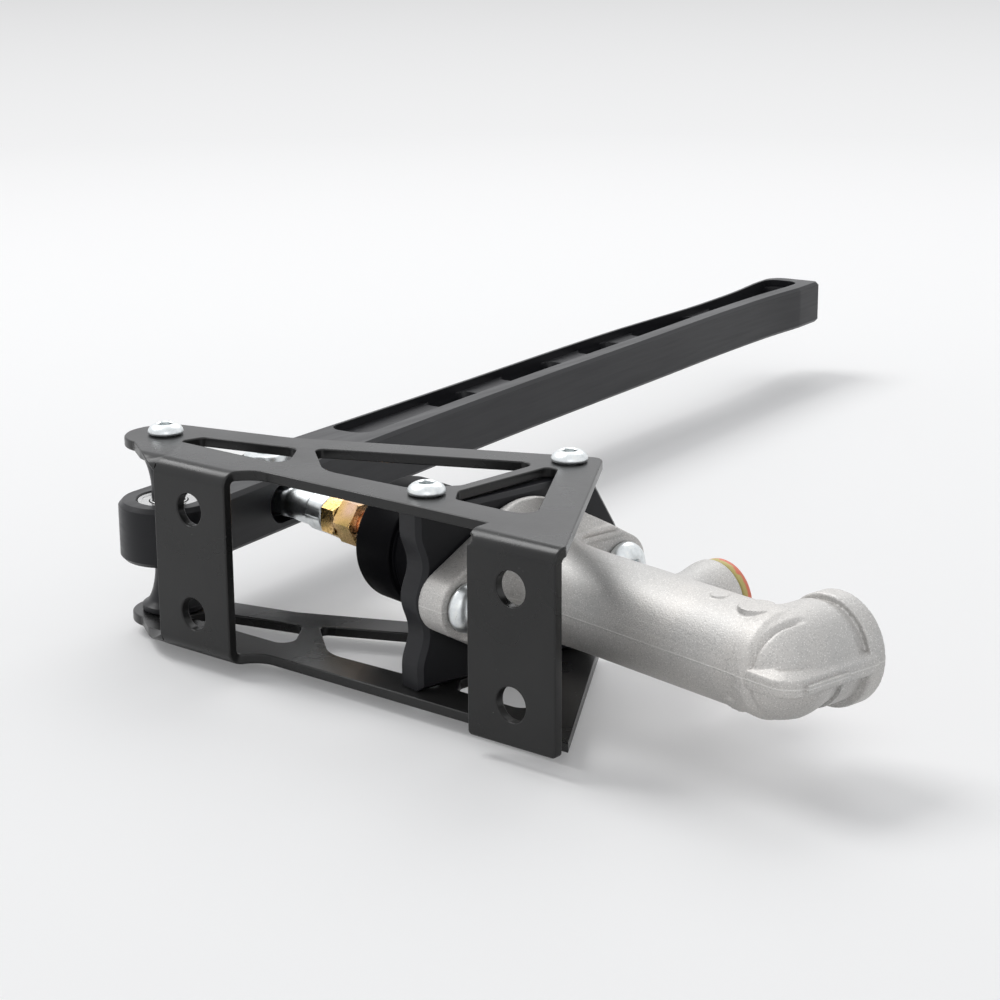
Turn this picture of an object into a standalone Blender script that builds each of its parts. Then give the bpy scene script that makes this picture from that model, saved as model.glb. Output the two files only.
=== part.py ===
"""Hydraulic hand brake: a folded bracket, a long billet lever on two bearings, a pushrod with a rod end,
and a cast master cylinder on a wavy adapter plate. It lies on its side, as it does in the photograph.

The frame: the two flanges bolt down on the plane y = 0 and face -Y, +Y runs from the flanges towards
the lever's tip, +Z points up and is the lever's pivot axis, and the origin is the middle of the
pivot-side flange. All sizes below are millimetres; MM turns them into metres.
"""
from math import acos, atan2, cos, degrees, pi, radians, sin, sqrt, tan

import bmesh
import bpy
import numpy as np
from mathutils import Vector

MM = 0.001
GAP = 0.3                  # between two pieces that touch
RUNNING = 0.1              # radial clearance of a shaft that turns in its hole
ROUND = 24                 # facets round a large turned piece
ROUND_SMALL = 14           # facets round a screw, a pin or a small ring
ARC = 4                    # facets in a quarter-round corner

# Bracket: one folded steel sheet
SHEET = 3.0
BRACKET_HEIGHT = 57.0      # over the outer faces of the two plates
BEND_INNER = 1.5
FLANGE_PITCH = 117.5       # between the middles of the two flanges, along X
FLANGE_WIDTH = 29.0
HOLE_PITCH = 31.0          # of the two holes in each flange, along Z
HOLE_D = 9.5
FRONT_SETBACK = 8.7        # the plates' front edges behind the flanges' faces
FRONT_CORNER = 8.5         # radius where a front edge meets a flange
RELIEF_D = 3.0             # round notch at the outer end of each bend
FLANGE_DROP = 1.6          # the far flange ends this far above the lower plate's underside
LOBE_R = 12.2              # rounded end of each plate about the pivot
LOBE_FROM, LOBE_TO = 102, 268          # degrees that the rounded end covers
PLATE_KINK = 41.6          # depth of the plates where their far edge turns
PLATE_CORNER = (5.0, 9.4)  # the plates' far corner, from the far screw
PLATE_CORNER_R = 4.0
# the windows' corners (x, y, radius), the first from the pivot and the others from the near screw
SLOT_WINDOW = ((9.4, -3.3, 1.4), (53.2, -3.3, 3.6), (42.6, 12.1, 4.2), (11.6, 4.1, 2.6))
MIDDLE_WINDOW = ((-58.0, 16.8, 2.0), (-39.0, 0.8, 6.0), (-8.8, 1.8, 3.0), (1.3, 12.6, 3.0), (3.4, 44.4, 3.4))
CORNER_WINDOW = ((9.4, 1.0, 3.0), (36.6, 0.8, 4.2), (11.0, 42.8, 2.6), (7.6, 41.4, 2.0), (4.8, 7.4, 3.0))

# Places of the screws, in plan
PIVOT = (-32.0, 21.5)
SCREW_NEAR = (72.6, 19.6)
SCREW_FAR = (81.4, 70.5)

# Fasteners: M6 button heads, M8 button heads
M6_D, M6_HEAD_D, M6_HEAD_H, M6_SOCKET = 6.0, 10.6, 3.3, 4.0
M8_D, M8_HEAD_D, M8_HEAD_H, M8_SOCKET = 8.0, 14.0, 4.4, 5.0
PIVOT_SCREW_L = 14.0
PLATE_SCREW_L = 15.0

# Lever: billet arm, in its own frame with the pivot at the origin and +Y along the arm
LEVER_LEAN = 6.7           # degrees that the arm leans away from +Y at rest
LEVER_T = 18.0
LEVER_REACH = 426.0        # pivot to tip
HUB_R = 15.0
LEVER_EDGE = 1.2           # chamfer along the arm's long edges
# half widths of the arm: (distance from the pivot, right side, left side)
ARM_WIDTHS = ((47.0, 13.0, 14.7), (100.0, 10.8, 14.3), (155.0, 9.3, 14.1))
# the same for the grip, with its palm swell: (distance back from the tip, right side, left side)
GRIP_WIDTHS = ((141.0, 8.6, 13.8), (72.0, 8.4, 10.8), (41.0, 9.3, 11.5), (19.0, 11.0, 13.4))
TIP_RIGHT_R, TIP_LEFT_R = 2.8, 8.5
WALL_RIGHT, WALL_LEFT = 7.0, 2.4   # walls left beside the pockets
RECESS_FROM = 94.0
RECESS_DEPTH = 3.0
TIP_WALL = 12.0            # left beyond the recess
# the deep pockets: (start, end) from the pivot
POCKETS = ((149.0, 174.0), (197.0, 233.0), (252.0, 276.0), (292.0, 339.0), (353.0, 413.0))
POCKET_WEB = 3.0           # left in the middle of the arm's thickness
POCKET_CORNER = 5.5

# Pivot bearings (8 x 19 x 6 mm) and the pieces between them
BEARING_D, BEARING_BORE, BEARING_T = 19.0, 8.0, 6.0
BEARING_RECESS = 0.4       # a bearing's face under the hub's face
RACE_INNER_D, RACE_OUTER_D = 11.2, 15.8
BALL_D, BALL_COUNT = 2.8, 7
HUB_BORE_D = 15.0          # between the bearings
SLEEVE_D = 11.0
SPACER_BIG_D, SPACER_SMALL_D = 18.0, 10.2
SPACER_RIM, SPACER_NECK = 2.0, 3.0

# Rod end (5/16 inch) on its bolt in the lever's slot
PIN_ARM = 46.5             # pivot to the rod end's bolt
ROD_EYE_D, ROD_EYE_T = 22.2, 8.7
ROD_BALL_D, ROD_BALL_W = 15.9, 11.1
ROD_BOLT_D, ROD_BOLT_HEAD_D, ROD_BOLT_HEAD_H = 7.9, 13.6, 3.6
ROD_NUT_AF, ROD_NUT_H = 12.7, 4.8
SLOT_HEIGHT = 12.0
SLOT_BEFORE, SLOT_AFTER = 14.8, 14.2   # slot's ends from the bolt, along the arm
SLOT_FLOOR = 2.6           # wall left behind the slot
SHANK_D, SHANK_L = 12.0, 36.2          # L is from the eye's middle to the shank's end
SHANK_STRAIGHT = 7.0
ROD_D = 7.9
THREAD_IN = 15.0           # of the pushrod in the shank
JAM_AF, JAM_T = 12.7, 6.6
COLLAR_AF, COLLAR_L = 12.7, 8.0

# Master cylinder, in its own frame: +X along its axis, x = 0 at the adapter plate's middle
MC_AXIS = -29.8            # the near plate screw, across from the cylinder's axis
MC_BORE = 19.05            # 3/4 inch
MC_BODY_D = 27.4
MC_ROOT_STEP = 2.0         # the body's root at the flange, wider than the spigot
MC_BOLT_PITCH = 57.15      # 2 1/4 inch
MC_EAR_R, MC_WAIST_R = 7.8, 21.0
MC_FLANGE_T = 10.6
SNOUT_D, SNOUT_OUT = 28.0, 12.3        # spigot through the plate, and how far it stands out
ELBOW_AT = 102.0           # from the plate's middle to the elbow's corner
ELBOW_D = 28.6
ELBOW_TO = 14.5            # neck's end, from the cylinder's axis
ELBOW_UNDERCUT = 1.7       # the neck's lower half, and the groove by its ring, are this much slimmer
PORT_GROOVE_W = 2.6
PORT_RING_D, PORT_RING_W = 30.6, 5.2
PORT_BORE = 13.0
RIB_H, RIB_W, RIB_FROM = 1.6, 4.4, 76.0
BOSS_AT, BOSS_D, BOSS_OUT = 54.5, 21.0, 25.8
OUTLET_BORE = 8.6
CAP_D, CAP_T, CAP_STEM_D, CAP_STEM_L = 22.2, 3.2, 7.8, 7.0
BORE_END = 97.0

# Adapter plate between the bracket's plates
PLATE_T = 9.5
PLATE_CHAMFER = 1.4
PLATE_NEAR = 36.7          # near edge from the cylinder's axis, at the lobes
PLATE_WAVE = 2.4           # depth of the two hollows in the near edge
PLATE_SHOULDER = 6.0       # straight ends of the near edge
PLATE_SHOULDER_FAR = 26.0  # where the far corners start, from the cylinder's axis
PLATE_NOSE = (37.0, 7.2, 5.0)  # corner of the far edge from the axis: across, up, and its radius

# Pieces in the cylinder's bore
PISTON_L = 36.0
PISTON_SOCKET_D, PISTON_SOCKET_L = 14.4, 9.0
NOSE_D = 12.0
STOP_T, STOP_HOLE = 1.4, 10.4
CLIP_T, CLIP_HOLE = 1.0, 12.0
CLIP_IN = 1.4              # the clip's outer face, inside the spigot's mouth
SEAL_W, SEAL_D, SEAL_SEAT_D = 3.0, 18.6, 13.0
SPRING_D, SPRING_WIRE, SPRING_TURNS = 14.5, 1.3, 7

# Rubber boot
BOOT_GRIP, BOOT_STEP = 3.0, 1.1        # wall over the spigot, and how much wider the front is
BOOT_LENGTH, BOOT_FRONT_L = 43.0, 16.0
BOOT_WALL, BOOT_HOLE = 2.2, 11.0
BOOT_EDGE = 1.0            # rounding of its front rim

# Worked out from the sizes above
HALF = BRACKET_HEIGHT / 2
INSIDE = HALF - SHEET
BEND_OUTER = BEND_INNER + SHEET
FAR_FLANGE_X = FLANGE_PITCH
FLANGE_HALF = FLANGE_WIDTH / 2
HUB_TOP = LEVER_T / 2
ACROSS = Vector((SCREW_FAR[0] - SCREW_NEAR[0], SCREW_FAR[1] - SCREW_NEAR[1])).normalized()
MC_TURN = atan2(ACROSS.y, ACROSS.x) - pi / 2
MC_AT = (SCREW_NEAR[0] - MC_AXIS * ACROSS.x, SCREW_NEAR[1] - MC_AXIS * ACROSS.y)
SCREW_SPAN = sqrt((SCREW_FAR[0] - SCREW_NEAR[0]) ** 2 + (SCREW_FAR[1] - SCREW_NEAR[1]) ** 2)
PLATE_FACE = PLATE_T / 2
FLANGE_FACE = PLATE_FACE + GAP + MC_FLANGE_T
SNOUT_END = -PLATE_FACE - SNOUT_OUT


def clear_scene():
    for item in list(bpy.data.objects):
        bpy.data.objects.remove(item, do_unlink=True)


def material(name, colour, roughness, metallic):
    made = bpy.data.materials.new(name)
    made.use_nodes = True
    shader = made.node_tree.nodes["Principled BSDF"]
    shader.inputs["Base Color"].default_value = (*colour, 1.0)
    shader.inputs["Roughness"].default_value = roughness
    shader.inputs["Metallic"].default_value = metallic
    return made


def make_materials():
    looks = {
        "powder_coat": ((0.045, 0.046, 0.048), 0.45, 0.1),
        "anodised_black": ((0.02, 0.021, 0.026), 0.4, 0.6),
        "zinc": ((0.72, 0.73, 0.72), 0.3, 1.0),
        "yellow_zinc": ((0.75, 0.55, 0.25), 0.3, 1.0),
        "bearing_steel": ((0.62, 0.62, 0.62), 0.22, 1.0),
        "cast_aluminium": ((0.6, 0.59, 0.57), 0.48, 0.9),
        "machined_aluminium": ((0.7, 0.7, 0.7), 0.3, 1.0),
        "rubber": ((0.012, 0.012, 0.013), 0.6, 0.0),
        "cap_plastic": ((0.85, 0.35, 0.12), 0.45, 0.0),
    }
    return {name: material(name, *look) for name, look in looks.items()}


def add(name, shape, look=None, parent=None):
    """The bmesh, drawn in millimetres, becomes an object in metres."""
    bmesh.ops.recalc_face_normals(shape, faces=shape.faces)
    bmesh.ops.scale(shape, vec=(MM, MM, MM), verts=shape.verts)
    mesh = bpy.data.meshes.new(name)
    shape.to_mesh(mesh)
    shape.free()
    mesh.shade_smooth()
    mesh.set_sharp_from_angle(angle=radians(30))
    made = bpy.data.objects.new(name, mesh)
    bpy.context.scene.collection.objects.link(made)
    made.parent = parent
    if look:
        mesh.materials.append(look)
    return made


def empty(name, at, turn):
    """An empty on a vertical axis through (x, y), turned about it."""
    made = bpy.data.objects.new(name, None)
    made.location = Vector((*at, 0.0)) * MM
    made.rotation_euler = (0.0, 0.0, turn)
    bpy.context.scene.collection.objects.link(made)
    return made


def tool(made):
    """Marks an object as a boolean's tool, which is no piece of the part."""
    made.hide_render = True
    made.display_type = "WIRE"
    return made


def combine(target, other, operation):
    step = target.modifiers.new(operation.title(), "BOOLEAN")
    step.operation = operation
    step.solver = "EXACT"
    step.object = tool(other)
    return target


def cut(target, *cutters):
    for cutter in cutters:
        combine(target, cutter, "DIFFERENCE")
    return target


def join(target, *others):
    for other in others:
        combine(target, other, "UNION")
    return target


def point(a, b, along, axis):
    """A point drawn at (a, b) on a plane across the axis, and at a place along it."""
    if axis == "X":
        return Vector((along, a, b))
    if axis == "Y":
        return Vector((b, along, a))
    return Vector((a, b, along))


def prism(outline, low, high, axis="Z"):
    """An outline extruded along an axis; it is drawn in (x, y), (y, z) or (z, x)."""
    shape = bmesh.new()
    rings = [[shape.verts.new(point(a, b, end, axis)) for a, b in outline] for end in (low, high)]
    shape.faces.new(rings[0][::-1])
    shape.faces.new(rings[1])
    count = len(outline)
    for i in range(count):
        j = (i + 1) % count
        shape.faces.new((rings[0][i], rings[0][j], rings[1][j], rings[1][i]))
    return shape


def turned(profile, axis="Z", facets=ROUND, centre=(0.0, 0.0), phase=0.0):
    """A closed profile of (place along the axis, radius) points, turned about the axis."""
    shape = bmesh.new()
    rings = []
    for along, radius in profile:
        if radius < 1e-6:
            rings.append([shape.verts.new(point(*centre, along, axis))])
            continue
        angles = [phase + 2 * pi * k / facets for k in range(facets)]
        rings.append([shape.verts.new(point(centre[0] + radius * cos(t), centre[1] + radius * sin(t), along, axis))
                      for t in angles])
    for first, second in zip(rings, rings[1:] + rings[:1]):
        if len(first) == 1 and len(second) == 1:
            continue
        for k in range(facets):
            j = (k + 1) % facets
            corners = [first[k % len(first)], first[j % len(first)], second[j % len(second)], second[k % len(second)]]
            shape.faces.new(list(dict.fromkeys(corners)))
    return shape


def rod(low, high, radius, axis="Z", facets=ROUND, centre=(0.0, 0.0)):
    return turned([(low, 0.0), (low, radius), (high, radius), (high, 0.0)], axis, facets, centre)


def rounded(corners, steps=ARC):
    """Corners (x, y, radius) in order become an outline whose corners are arcs."""
    outline = []
    for i, (x, y, radius) in enumerate(corners):
        here = Vector((x, y))
        if radius == 0:
            outline.append((x, y))
            continue
        back = (Vector(corners[i - 1][:2]) - here).normalized()
        ahead = (Vector(corners[(i + 1) % len(corners)][:2]) - here).normalized()
        half = acos(max(-1.0, min(1.0, back.dot(ahead)))) / 2
        centre = here + (back + ahead).normalized() * radius / sin(half)
        start = here + back * radius / tan(half) - centre
        end = here + ahead * radius / tan(half) - centre
        first = atan2(start.y, start.x)
        sweep = (atan2(end.y, end.x) - first + pi) % (2 * pi) - pi
        for k in range(steps + 1):
            t = first + sweep * k / steps
            outline.append((centre.x + radius * cos(t), centre.y + radius * sin(t)))
    return outline


def arc(centre, radius, start, end, steps):
    """Points on an arc, with its angles in degrees."""
    return [(centre[0] + radius * cos(radians(start + (end - start) * k / steps)),
             centre[1] + radius * sin(radians(start + (end - start) * k / steps))) for k in range(steps + 1)]


def hexagon(across_flats, turn=0.0):
    radius = across_flats / 2 / cos(pi / 6)
    return [(radius * cos(turn + k * pi / 3), radius * sin(turn + k * pi / 3)) for k in range(6)]


def button_screw(name, at, down, diameter, head_d, head_h, socket, length, look, parent=None, axis="Z"):
    """A button-head screw on an axis: at is (a, b, seat), and down is -1 or +1 along the axis."""
    a, b, seat = at
    up = -down
    head_r, shank_r = head_d / 2, diameter / 2
    dome = [(seat + up * (GAP + head_h * sin(t)), head_r * cos(t) ** 0.75 if t else head_r)
            for t in (0.0, radians(25), radians(48), radians(64))]
    top = seat + up * (GAP + head_h)
    crown = dome[-1][1]
    profile = [(seat + down * length, 0.0), (seat + down * length, shank_r - 0.6), (seat + down * (length - 0.6), shank_r),
               (seat + up * GAP, shank_r), *dome, (top, crown * 0.85), (top, 0.0)]
    screw = add(name, turned(profile, axis, ROUND_SMALL, (a, b)), look, parent)
    recess = [(a + x, b + y) for x, y in hexagon(socket)]
    ends = sorted((top - up * head_h * 0.62, top + up))
    cut(screw, add(name + "_socket", prism(recess, *ends, axis), parent=parent))
    return screw


def sheet_profile(edge):
    """The bracket's section in (y, z): plate on top, bend, and a flange down to the given edge."""
    reach = SCREW_FAR[1] + 40
    outer = arc((BEND_OUTER, HALF - BEND_OUTER), BEND_OUTER, 180, 90, ARC)
    inner = arc((BEND_OUTER, HALF - BEND_OUTER), BEND_INNER, 90, 180, ARC)
    return [(0.0, edge), *outer, (reach, HALF), (reach, INSIDE), *inner, (SHEET, edge)]


def folded_profile():
    """Both plates and the flange between them, as one C in (y, z)."""
    upper = sheet_profile(0.0)
    outside = upper[1:ARC + 3]
    inside = upper[ARC + 3:-1]
    mirror = [(y, -z) for y, z in outside[::-1]]
    mirror_in = [(y, -z) for y, z in inside[::-1]]
    return outside + inside + mirror_in + mirror


def plate_outline():
    """The bracket's plan: flanges at y = 0, lobe round the pivot, and the corner past the far screw."""
    front = -1.0
    near_side = -FLANGE_HALF
    near_end = FLANGE_HALF
    far_side = FAR_FLANGE_X - FLANGE_HALF
    far_end = FAR_FLANGE_X + FLANGE_HALF
    corner = (SCREW_FAR[0] + PLATE_CORNER[0], SCREW_FAR[1] + PLATE_CORNER[1])
    kink = (0.0, PLATE_KINK)
    outline = [(near_side, front), (near_end, front)]
    outline += arc((near_end + FRONT_CORNER, FRONT_SETBACK - FRONT_CORNER), FRONT_CORNER, 180, 90, 2 * ARC)
    outline += [(far_side, FRONT_SETBACK), (far_side, front), (far_end, front), (far_end, BEND_OUTER)]
    outline += rounded([(far_end, BEND_OUTER, 0.0), (*corner, PLATE_CORNER_R), (*kink, 0.0)])[1:-1]
    outline += [kink]
    outline += arc(PIVOT, LOBE_R, LOBE_FROM, LOBE_TO, 12)
    outline += [(near_side, BEND_OUTER)]
    return outline


def window_outlines():
    """The three openings in each plate, each a polygon with round corners."""
    placed = ((SLOT_WINDOW, PIVOT), (MIDDLE_WINDOW, SCREW_NEAR), (CORNER_WINDOW, SCREW_NEAR))
    return [rounded([(x + at[0], y + at[1], radius) for x, y, radius in window]) for window, at in placed]


def make_bracket(looks):
    plates = (-60.0, 1.0 + FLANGE_HALF + FRONT_CORNER + 10)
    bracket = add("bracket", prism(folded_profile(), *plates, "X"), looks["powder_coat"])
    right = (plates[1] - 1.0, FAR_FLANGE_X + 20)
    edge = -HALF + FLANGE_DROP
    far_part = add("bracket_far_part", prism(sheet_profile(edge), *right, "X"))
    reach = SCREW_FAR[1] + 40
    floor = [(right[0], FRONT_SETBACK), (right[1], FRONT_SETBACK), (right[1], reach), (right[0], reach)]
    lower = add("bracket_lower_part", prism(floor, -HALF, -INSIDE))
    join(bracket, far_part, lower)
    tall = (-HALF - 5, HALF + 5)
    combine(bracket, add("bracket_plan", prism(plate_outline(), *tall)), "INTERSECT")
    for k, outline in enumerate(window_outlines()):
        cut(bracket, add(f"bracket_window_{k}", prism(outline, *tall)))
    for k, spot in enumerate((PIVOT, SCREW_NEAR, SCREW_FAR)):
        radius = M6_D / 2 + GAP
        cut(bracket, add(f"bracket_screw_hole_{k}", rod(*tall, radius, "Z", ROUND_SMALL, spot)))
    for k, x in enumerate((0.0, FAR_FLANGE_X)):
        for side in (-1, 1):
            hole = rod(-5.0, SHEET + 5, HOLE_D / 2, "Y", ROUND_SMALL, (side * HOLE_PITCH / 2, x))
            cut(bracket, add(f"bracket_flange_hole_{k}_{side}", hole))
    reliefs = ((-FLANGE_HALF, HALF - SHEET), (-FLANGE_HALF, -HALF + SHEET), (FAR_FLANGE_X - FLANGE_HALF, HALF - SHEET))
    for k, (x, z) in enumerate(reliefs):
        notch = rod(-1.0, BEND_OUTER + 1.5, RELIEF_D / 2, "Y", 12, (z, x))
        cut(bracket, add(f"bracket_relief_{k}", notch))
    return bracket


def lever_edge(side, steps):
    """One long edge of the arm as points (x, y), a smooth curve through its named half widths."""
    stations = [(0.0, HUB_R, HUB_R), *ARM_WIDTHS]
    stations += [(LEVER_REACH - back, right, left) for back, right, left in GRIP_WIDTHS]
    along = np.array([row[0] for row in stations])
    half = np.array([row[side] for row in stations])
    slope = np.gradient(half, along)
    points = []
    for i in range(len(along) - 1):
        span = along[i + 1] - along[i]
        for k in range(steps):
            t = k / steps
            value = ((1 + 2 * t) * (1 - t) ** 2 * half[i] + t * (1 - t) ** 2 * span * slope[i]
                     + t * t * (3 - 2 * t) * half[i + 1] + t * t * (t - 1) * span * slope[i + 1])
            points.append((float(value), float(along[i] + t * span)))
    points.append((float(half[-1]), float(along[-1])))
    return points


def lever_width(y, side):
    """The arm's half width at a distance from the pivot."""
    edge = lever_edge(side, 4)
    return float(np.interp(y, [p[1] for p in edge], [p[0] for p in edge]))


def lever_outline(inset=0.0):
    right = [(x - inset, y) for x, y in lever_edge(1, 2)][1:]
    left = [(-x + inset, y) for x, y in lever_edge(2, 2)][1:]
    tip = LEVER_REACH - inset
    cap = rounded([(*right[-1], 0.0), (right[-1][0], tip, TIP_RIGHT_R), (left[-1][0], tip, TIP_LEFT_R),
                   (*left[-1], 0.0)])
    hub = arc((0.0, 0.0), HUB_R - inset, 180, 360, ROUND // 2)
    return right[:-1] + cap + left[:-1][::-1] + hub


def arm_shape():
    """The arm with a chamfer round its upper and lower edges."""
    rings = ((-HUB_TOP, LEVER_EDGE), (-HUB_TOP + LEVER_EDGE, 0.0), (HUB_TOP - LEVER_EDGE, 0.0), (HUB_TOP, LEVER_EDGE))
    shape = bmesh.new()
    loops = [[shape.verts.new((x, y, z)) for x, y in lever_outline(inset)] for z, inset in rings]
    shape.faces.new(loops[0][::-1])
    shape.faces.new(loops[-1])
    for lower, upper in zip(loops, loops[1:]):
        for i in range(len(lower)):
            j = (i + 1) % len(lower)
            shape.faces.new((lower[i], lower[j], upper[j], upper[i]))
    return shape


def strip_outline(start, end, corner):
    """A pocket's outline between two places along the arm, inside its two walls."""
    stations = np.linspace(start, end, 4)
    right = [(lever_width(y, 1) - WALL_RIGHT, float(y)) for y in stations]
    left = [(-lever_width(y, 2) + WALL_LEFT, float(y)) for y in stations]
    corners = [(*p, 0.0) for p in right] + [(*p, 0.0) for p in left[::-1]]
    for i, across in ((0, 7), (7, 0), (3, 4), (4, 3)):
        width = abs(corners[i][0] - corners[across][0])
        corners[i] = (*corners[i][:2], min(corner, 0.47 * width))
    return rounded(corners, 3)


def make_lever(looks, pivot):
    lever = add("lever", arm_shape(), looks["anodised_black"], pivot)
    for side in (-1, 1):
        ends = sorted((side * (HUB_TOP - RECESS_DEPTH), side * (HUB_TOP + 2)))
        recess_to = LEVER_REACH - TIP_WALL
        recess = strip_outline(RECESS_FROM, recess_to, POCKET_CORNER)
        cut(lever, add(f"lever_recess_{side}", prism(recess, *ends), parent=pivot))
        ends = sorted((side * POCKET_WEB / 2, side * (HUB_TOP - RECESS_DEPTH + 1)))
        for k, (start, end) in enumerate(POCKETS):
            if end < recess_to:
                pocket = strip_outline(start, end, POCKET_CORNER)
                cut(lever, add(f"lever_pocket_{side}_{k}", prism(pocket, *ends), parent=pivot))
        seat = sorted((side * (HUB_TOP - BEARING_RECESS - BEARING_T - GAP), side * (HUB_TOP + 2)))
        cut(lever, add(f"lever_bearing_seat_{side}", rod(*seat, BEARING_D / 2 + GAP), parent=pivot))
    cut(lever, add("lever_hub_bore", rod(-HUB_TOP, HUB_TOP, HUB_BORE_D / 2), parent=pivot))
    half = SLOT_HEIGHT / 2
    low, high = PIN_ARM - SLOT_BEFORE, PIN_ARM + SLOT_AFTER
    slot = rounded([(low, -half, half * 0.98), (high, -half, half * 0.98), (high, half, half * 0.98),
                    (low, half, half * 0.98)], 4)
    depth = (-lever_width(PIN_ARM, 2) + SLOT_FLOOR, lever_width(PIN_ARM, 1) + 8)
    cut(lever, add("lever_slot", prism(slot, *depth, "X"), parent=pivot))
    hole = rod(-HUB_TOP - 2, HUB_TOP + 2, ROD_BOLT_D / 2 + GAP, "Z", ROUND_SMALL, (0.0, PIN_ARM))
    cut(lever, add("lever_pin_hole", hole, parent=pivot))
    return lever


def make_bearings(looks, pivot):
    """Each bearing has an outer race that turns with the lever, an inner race on the axle, and its balls."""
    steel = looks["bearing_steel"]
    for label, side in (("upper", 1), ("lower", -1)):
        face = side * (HUB_TOP - BEARING_RECESS)
        back = face - side * BEARING_T
        middle = (face + back) / 2
        track = BALL_D / 2 + RUNNING
        pitch_r = (RACE_INNER_D + RACE_OUTER_D) / 4
        groove = [(middle - side * track, track), (middle + side * track, track)]
        outer_r, inner_r = BEARING_D / 2, RACE_OUTER_D / 2
        outer = [(face, inner_r), (face, outer_r - 0.3), (face - side * 0.3, outer_r), (back + side * 0.3, outer_r),
                 (back, outer_r - 0.3), (back, inner_r)]
        outer += [(z, pitch_r + r) for z, r in groove]
        add(f"bearing_{label}_outer_race", turned(outer), steel, pivot)
        inner = [(face, RACE_INNER_D / 2), (face, BEARING_BORE / 2 + RUNNING), (back, BEARING_BORE / 2 + RUNNING),
                 (back, RACE_INNER_D / 2)]
        inner += [(z, pitch_r - r) for z, r in groove]
        add(f"bearing_{label}_inner_race", turned(inner), steel)
        inner_race = bpy.data.objects[f"bearing_{label}_inner_race"]
        inner_race.location = Vector((*PIVOT, 0.0)) * MM
        cage = [(middle - 0.5, pitch_r - 0.7), (middle + 0.5, pitch_r - 0.7), (middle + 0.5, pitch_r + 0.7),
                (middle - 0.5, pitch_r + 0.7)]
        balls = add(f"bearing_{label}_balls", turned(cage, facets=14), steel)
        balls.location = Vector((*PIVOT, 0.0)) * MM
        for k in range(BALL_COUNT):
            t = 2 * pi * k / BALL_COUNT
            radius = BALL_D / 2
            profile = [(middle + radius * sin(a), radius * cos(a)) for a in np.radians((-35, 35))]
            profile = [(middle - radius, 0.0), *profile, (middle + radius, 0.0)]
            ball = add(f"{balls.name}_{k}", turned(profile, facets=8, centre=(pitch_r * cos(t), pitch_r * sin(t))))
            ball.location = balls.location
            join(balls, ball)


def make_pivot(looks):
    """The tapped axle, its two screws, the sleeve between the bearings and the two trumpet spacers."""
    axle_end = INSIDE - GAP
    hole_r = M6_D / 2 + GAP
    depth = PIVOT_SCREW_L - SHEET + 2
    profile = [(-axle_end, hole_r), (-axle_end, BEARING_BORE / 2), (axle_end, BEARING_BORE / 2), (axle_end, hole_r),
               (axle_end - depth, hole_r), (axle_end - depth, 0.0), (-axle_end + depth, 0.0),
               (-axle_end + depth, hole_r)]
    add("pivot_axle", turned(profile, centre=PIVOT), looks["zinc"])
    reach = HUB_TOP - BEARING_RECESS - BEARING_T - GAP
    bore = BEARING_BORE / 2 + RUNNING
    sleeve = [(-reach, bore), (-reach, SLEEVE_D / 2), (reach, SLEEVE_D / 2), (reach, bore)]
    add("pivot_sleeve", turned(sleeve, centre=PIVOT), looks["machined_aluminium"])
    big, small = SPACER_BIG_D / 2, SPACER_SMALL_D / 2
    top = INSIDE - GAP
    foot = HUB_TOP - BEARING_RECESS + GAP
    waist = foot + SPACER_NECK
    flare = top - SPACER_RIM
    for label, side in (("upper", 1), ("lower", -1)):
        curve = [(waist + (flare - waist) * t, small + (big - small) * (1 - sqrt(1 - t * t)))
                 for t in (0.0, 0.4, 0.7, 0.9, 1.0)]
        outline = [(top, bore), (foot, bore), (foot, small), *curve, (top, big)]
        add(f"spacer_{label}", turned([(side * z, r) for z, r in outline], centre=PIVOT), looks["anodised_black"])
        button_screw(f"pivot_screw_{label}", (*PIVOT, side * HALF), -side, M6_D, M6_HEAD_D, M6_HEAD_H, M6_SOCKET,
                     PIVOT_SCREW_L, looks["zinc"])


def make_plate_screws(looks):
    for where, spot in (("near", SCREW_NEAR), ("far", SCREW_FAR)):
        for label, side in (("upper", 1), ("lower", -1)):
            button_screw(f"plate_screw_{where}_{label}", (*spot, side * HALF), -side, M6_D, M6_HEAD_D, M6_HEAD_H,
                         M6_SOCKET, PLATE_SCREW_L, looks["zinc"])


def adapter_outline(inset=0.0):
    """The adapter plate's outline across the cylinder, as (y, z): a wavy near edge and a pointed far edge."""
    top = INSIDE - GAP
    hollow_at = (top - PLATE_SHOULDER) / 2
    heights = np.linspace(-2 * hollow_at, 2 * hollow_at, 17)
    wave = [(-PLATE_NEAR + inset + PLATE_WAVE * sin(pi / 2 * z / hollow_at) ** 2, float(z)) for z in heights]
    nose_y, nose_z, nose_r = PLATE_NOSE
    run, drop = nose_y - PLATE_SHOULDER_FAR, top - nose_z
    slant = sqrt(run ** 2 + drop ** 2)
    shoulder = PLATE_SHOULDER_FAR - inset * (slant - run) / drop
    nose = (nose_y - inset, nose_z - inset * (slant - drop) / run)
    far = rounded([(shoulder, top - inset, 0.0), (*nose, nose_r), (nose[0], -nose[1], nose_r),
                   (shoulder, inset - top, 0.0)])
    near = -PLATE_NEAR + inset
    return [(near, inset - top), *wave, (near, top - inset), *far]


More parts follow.
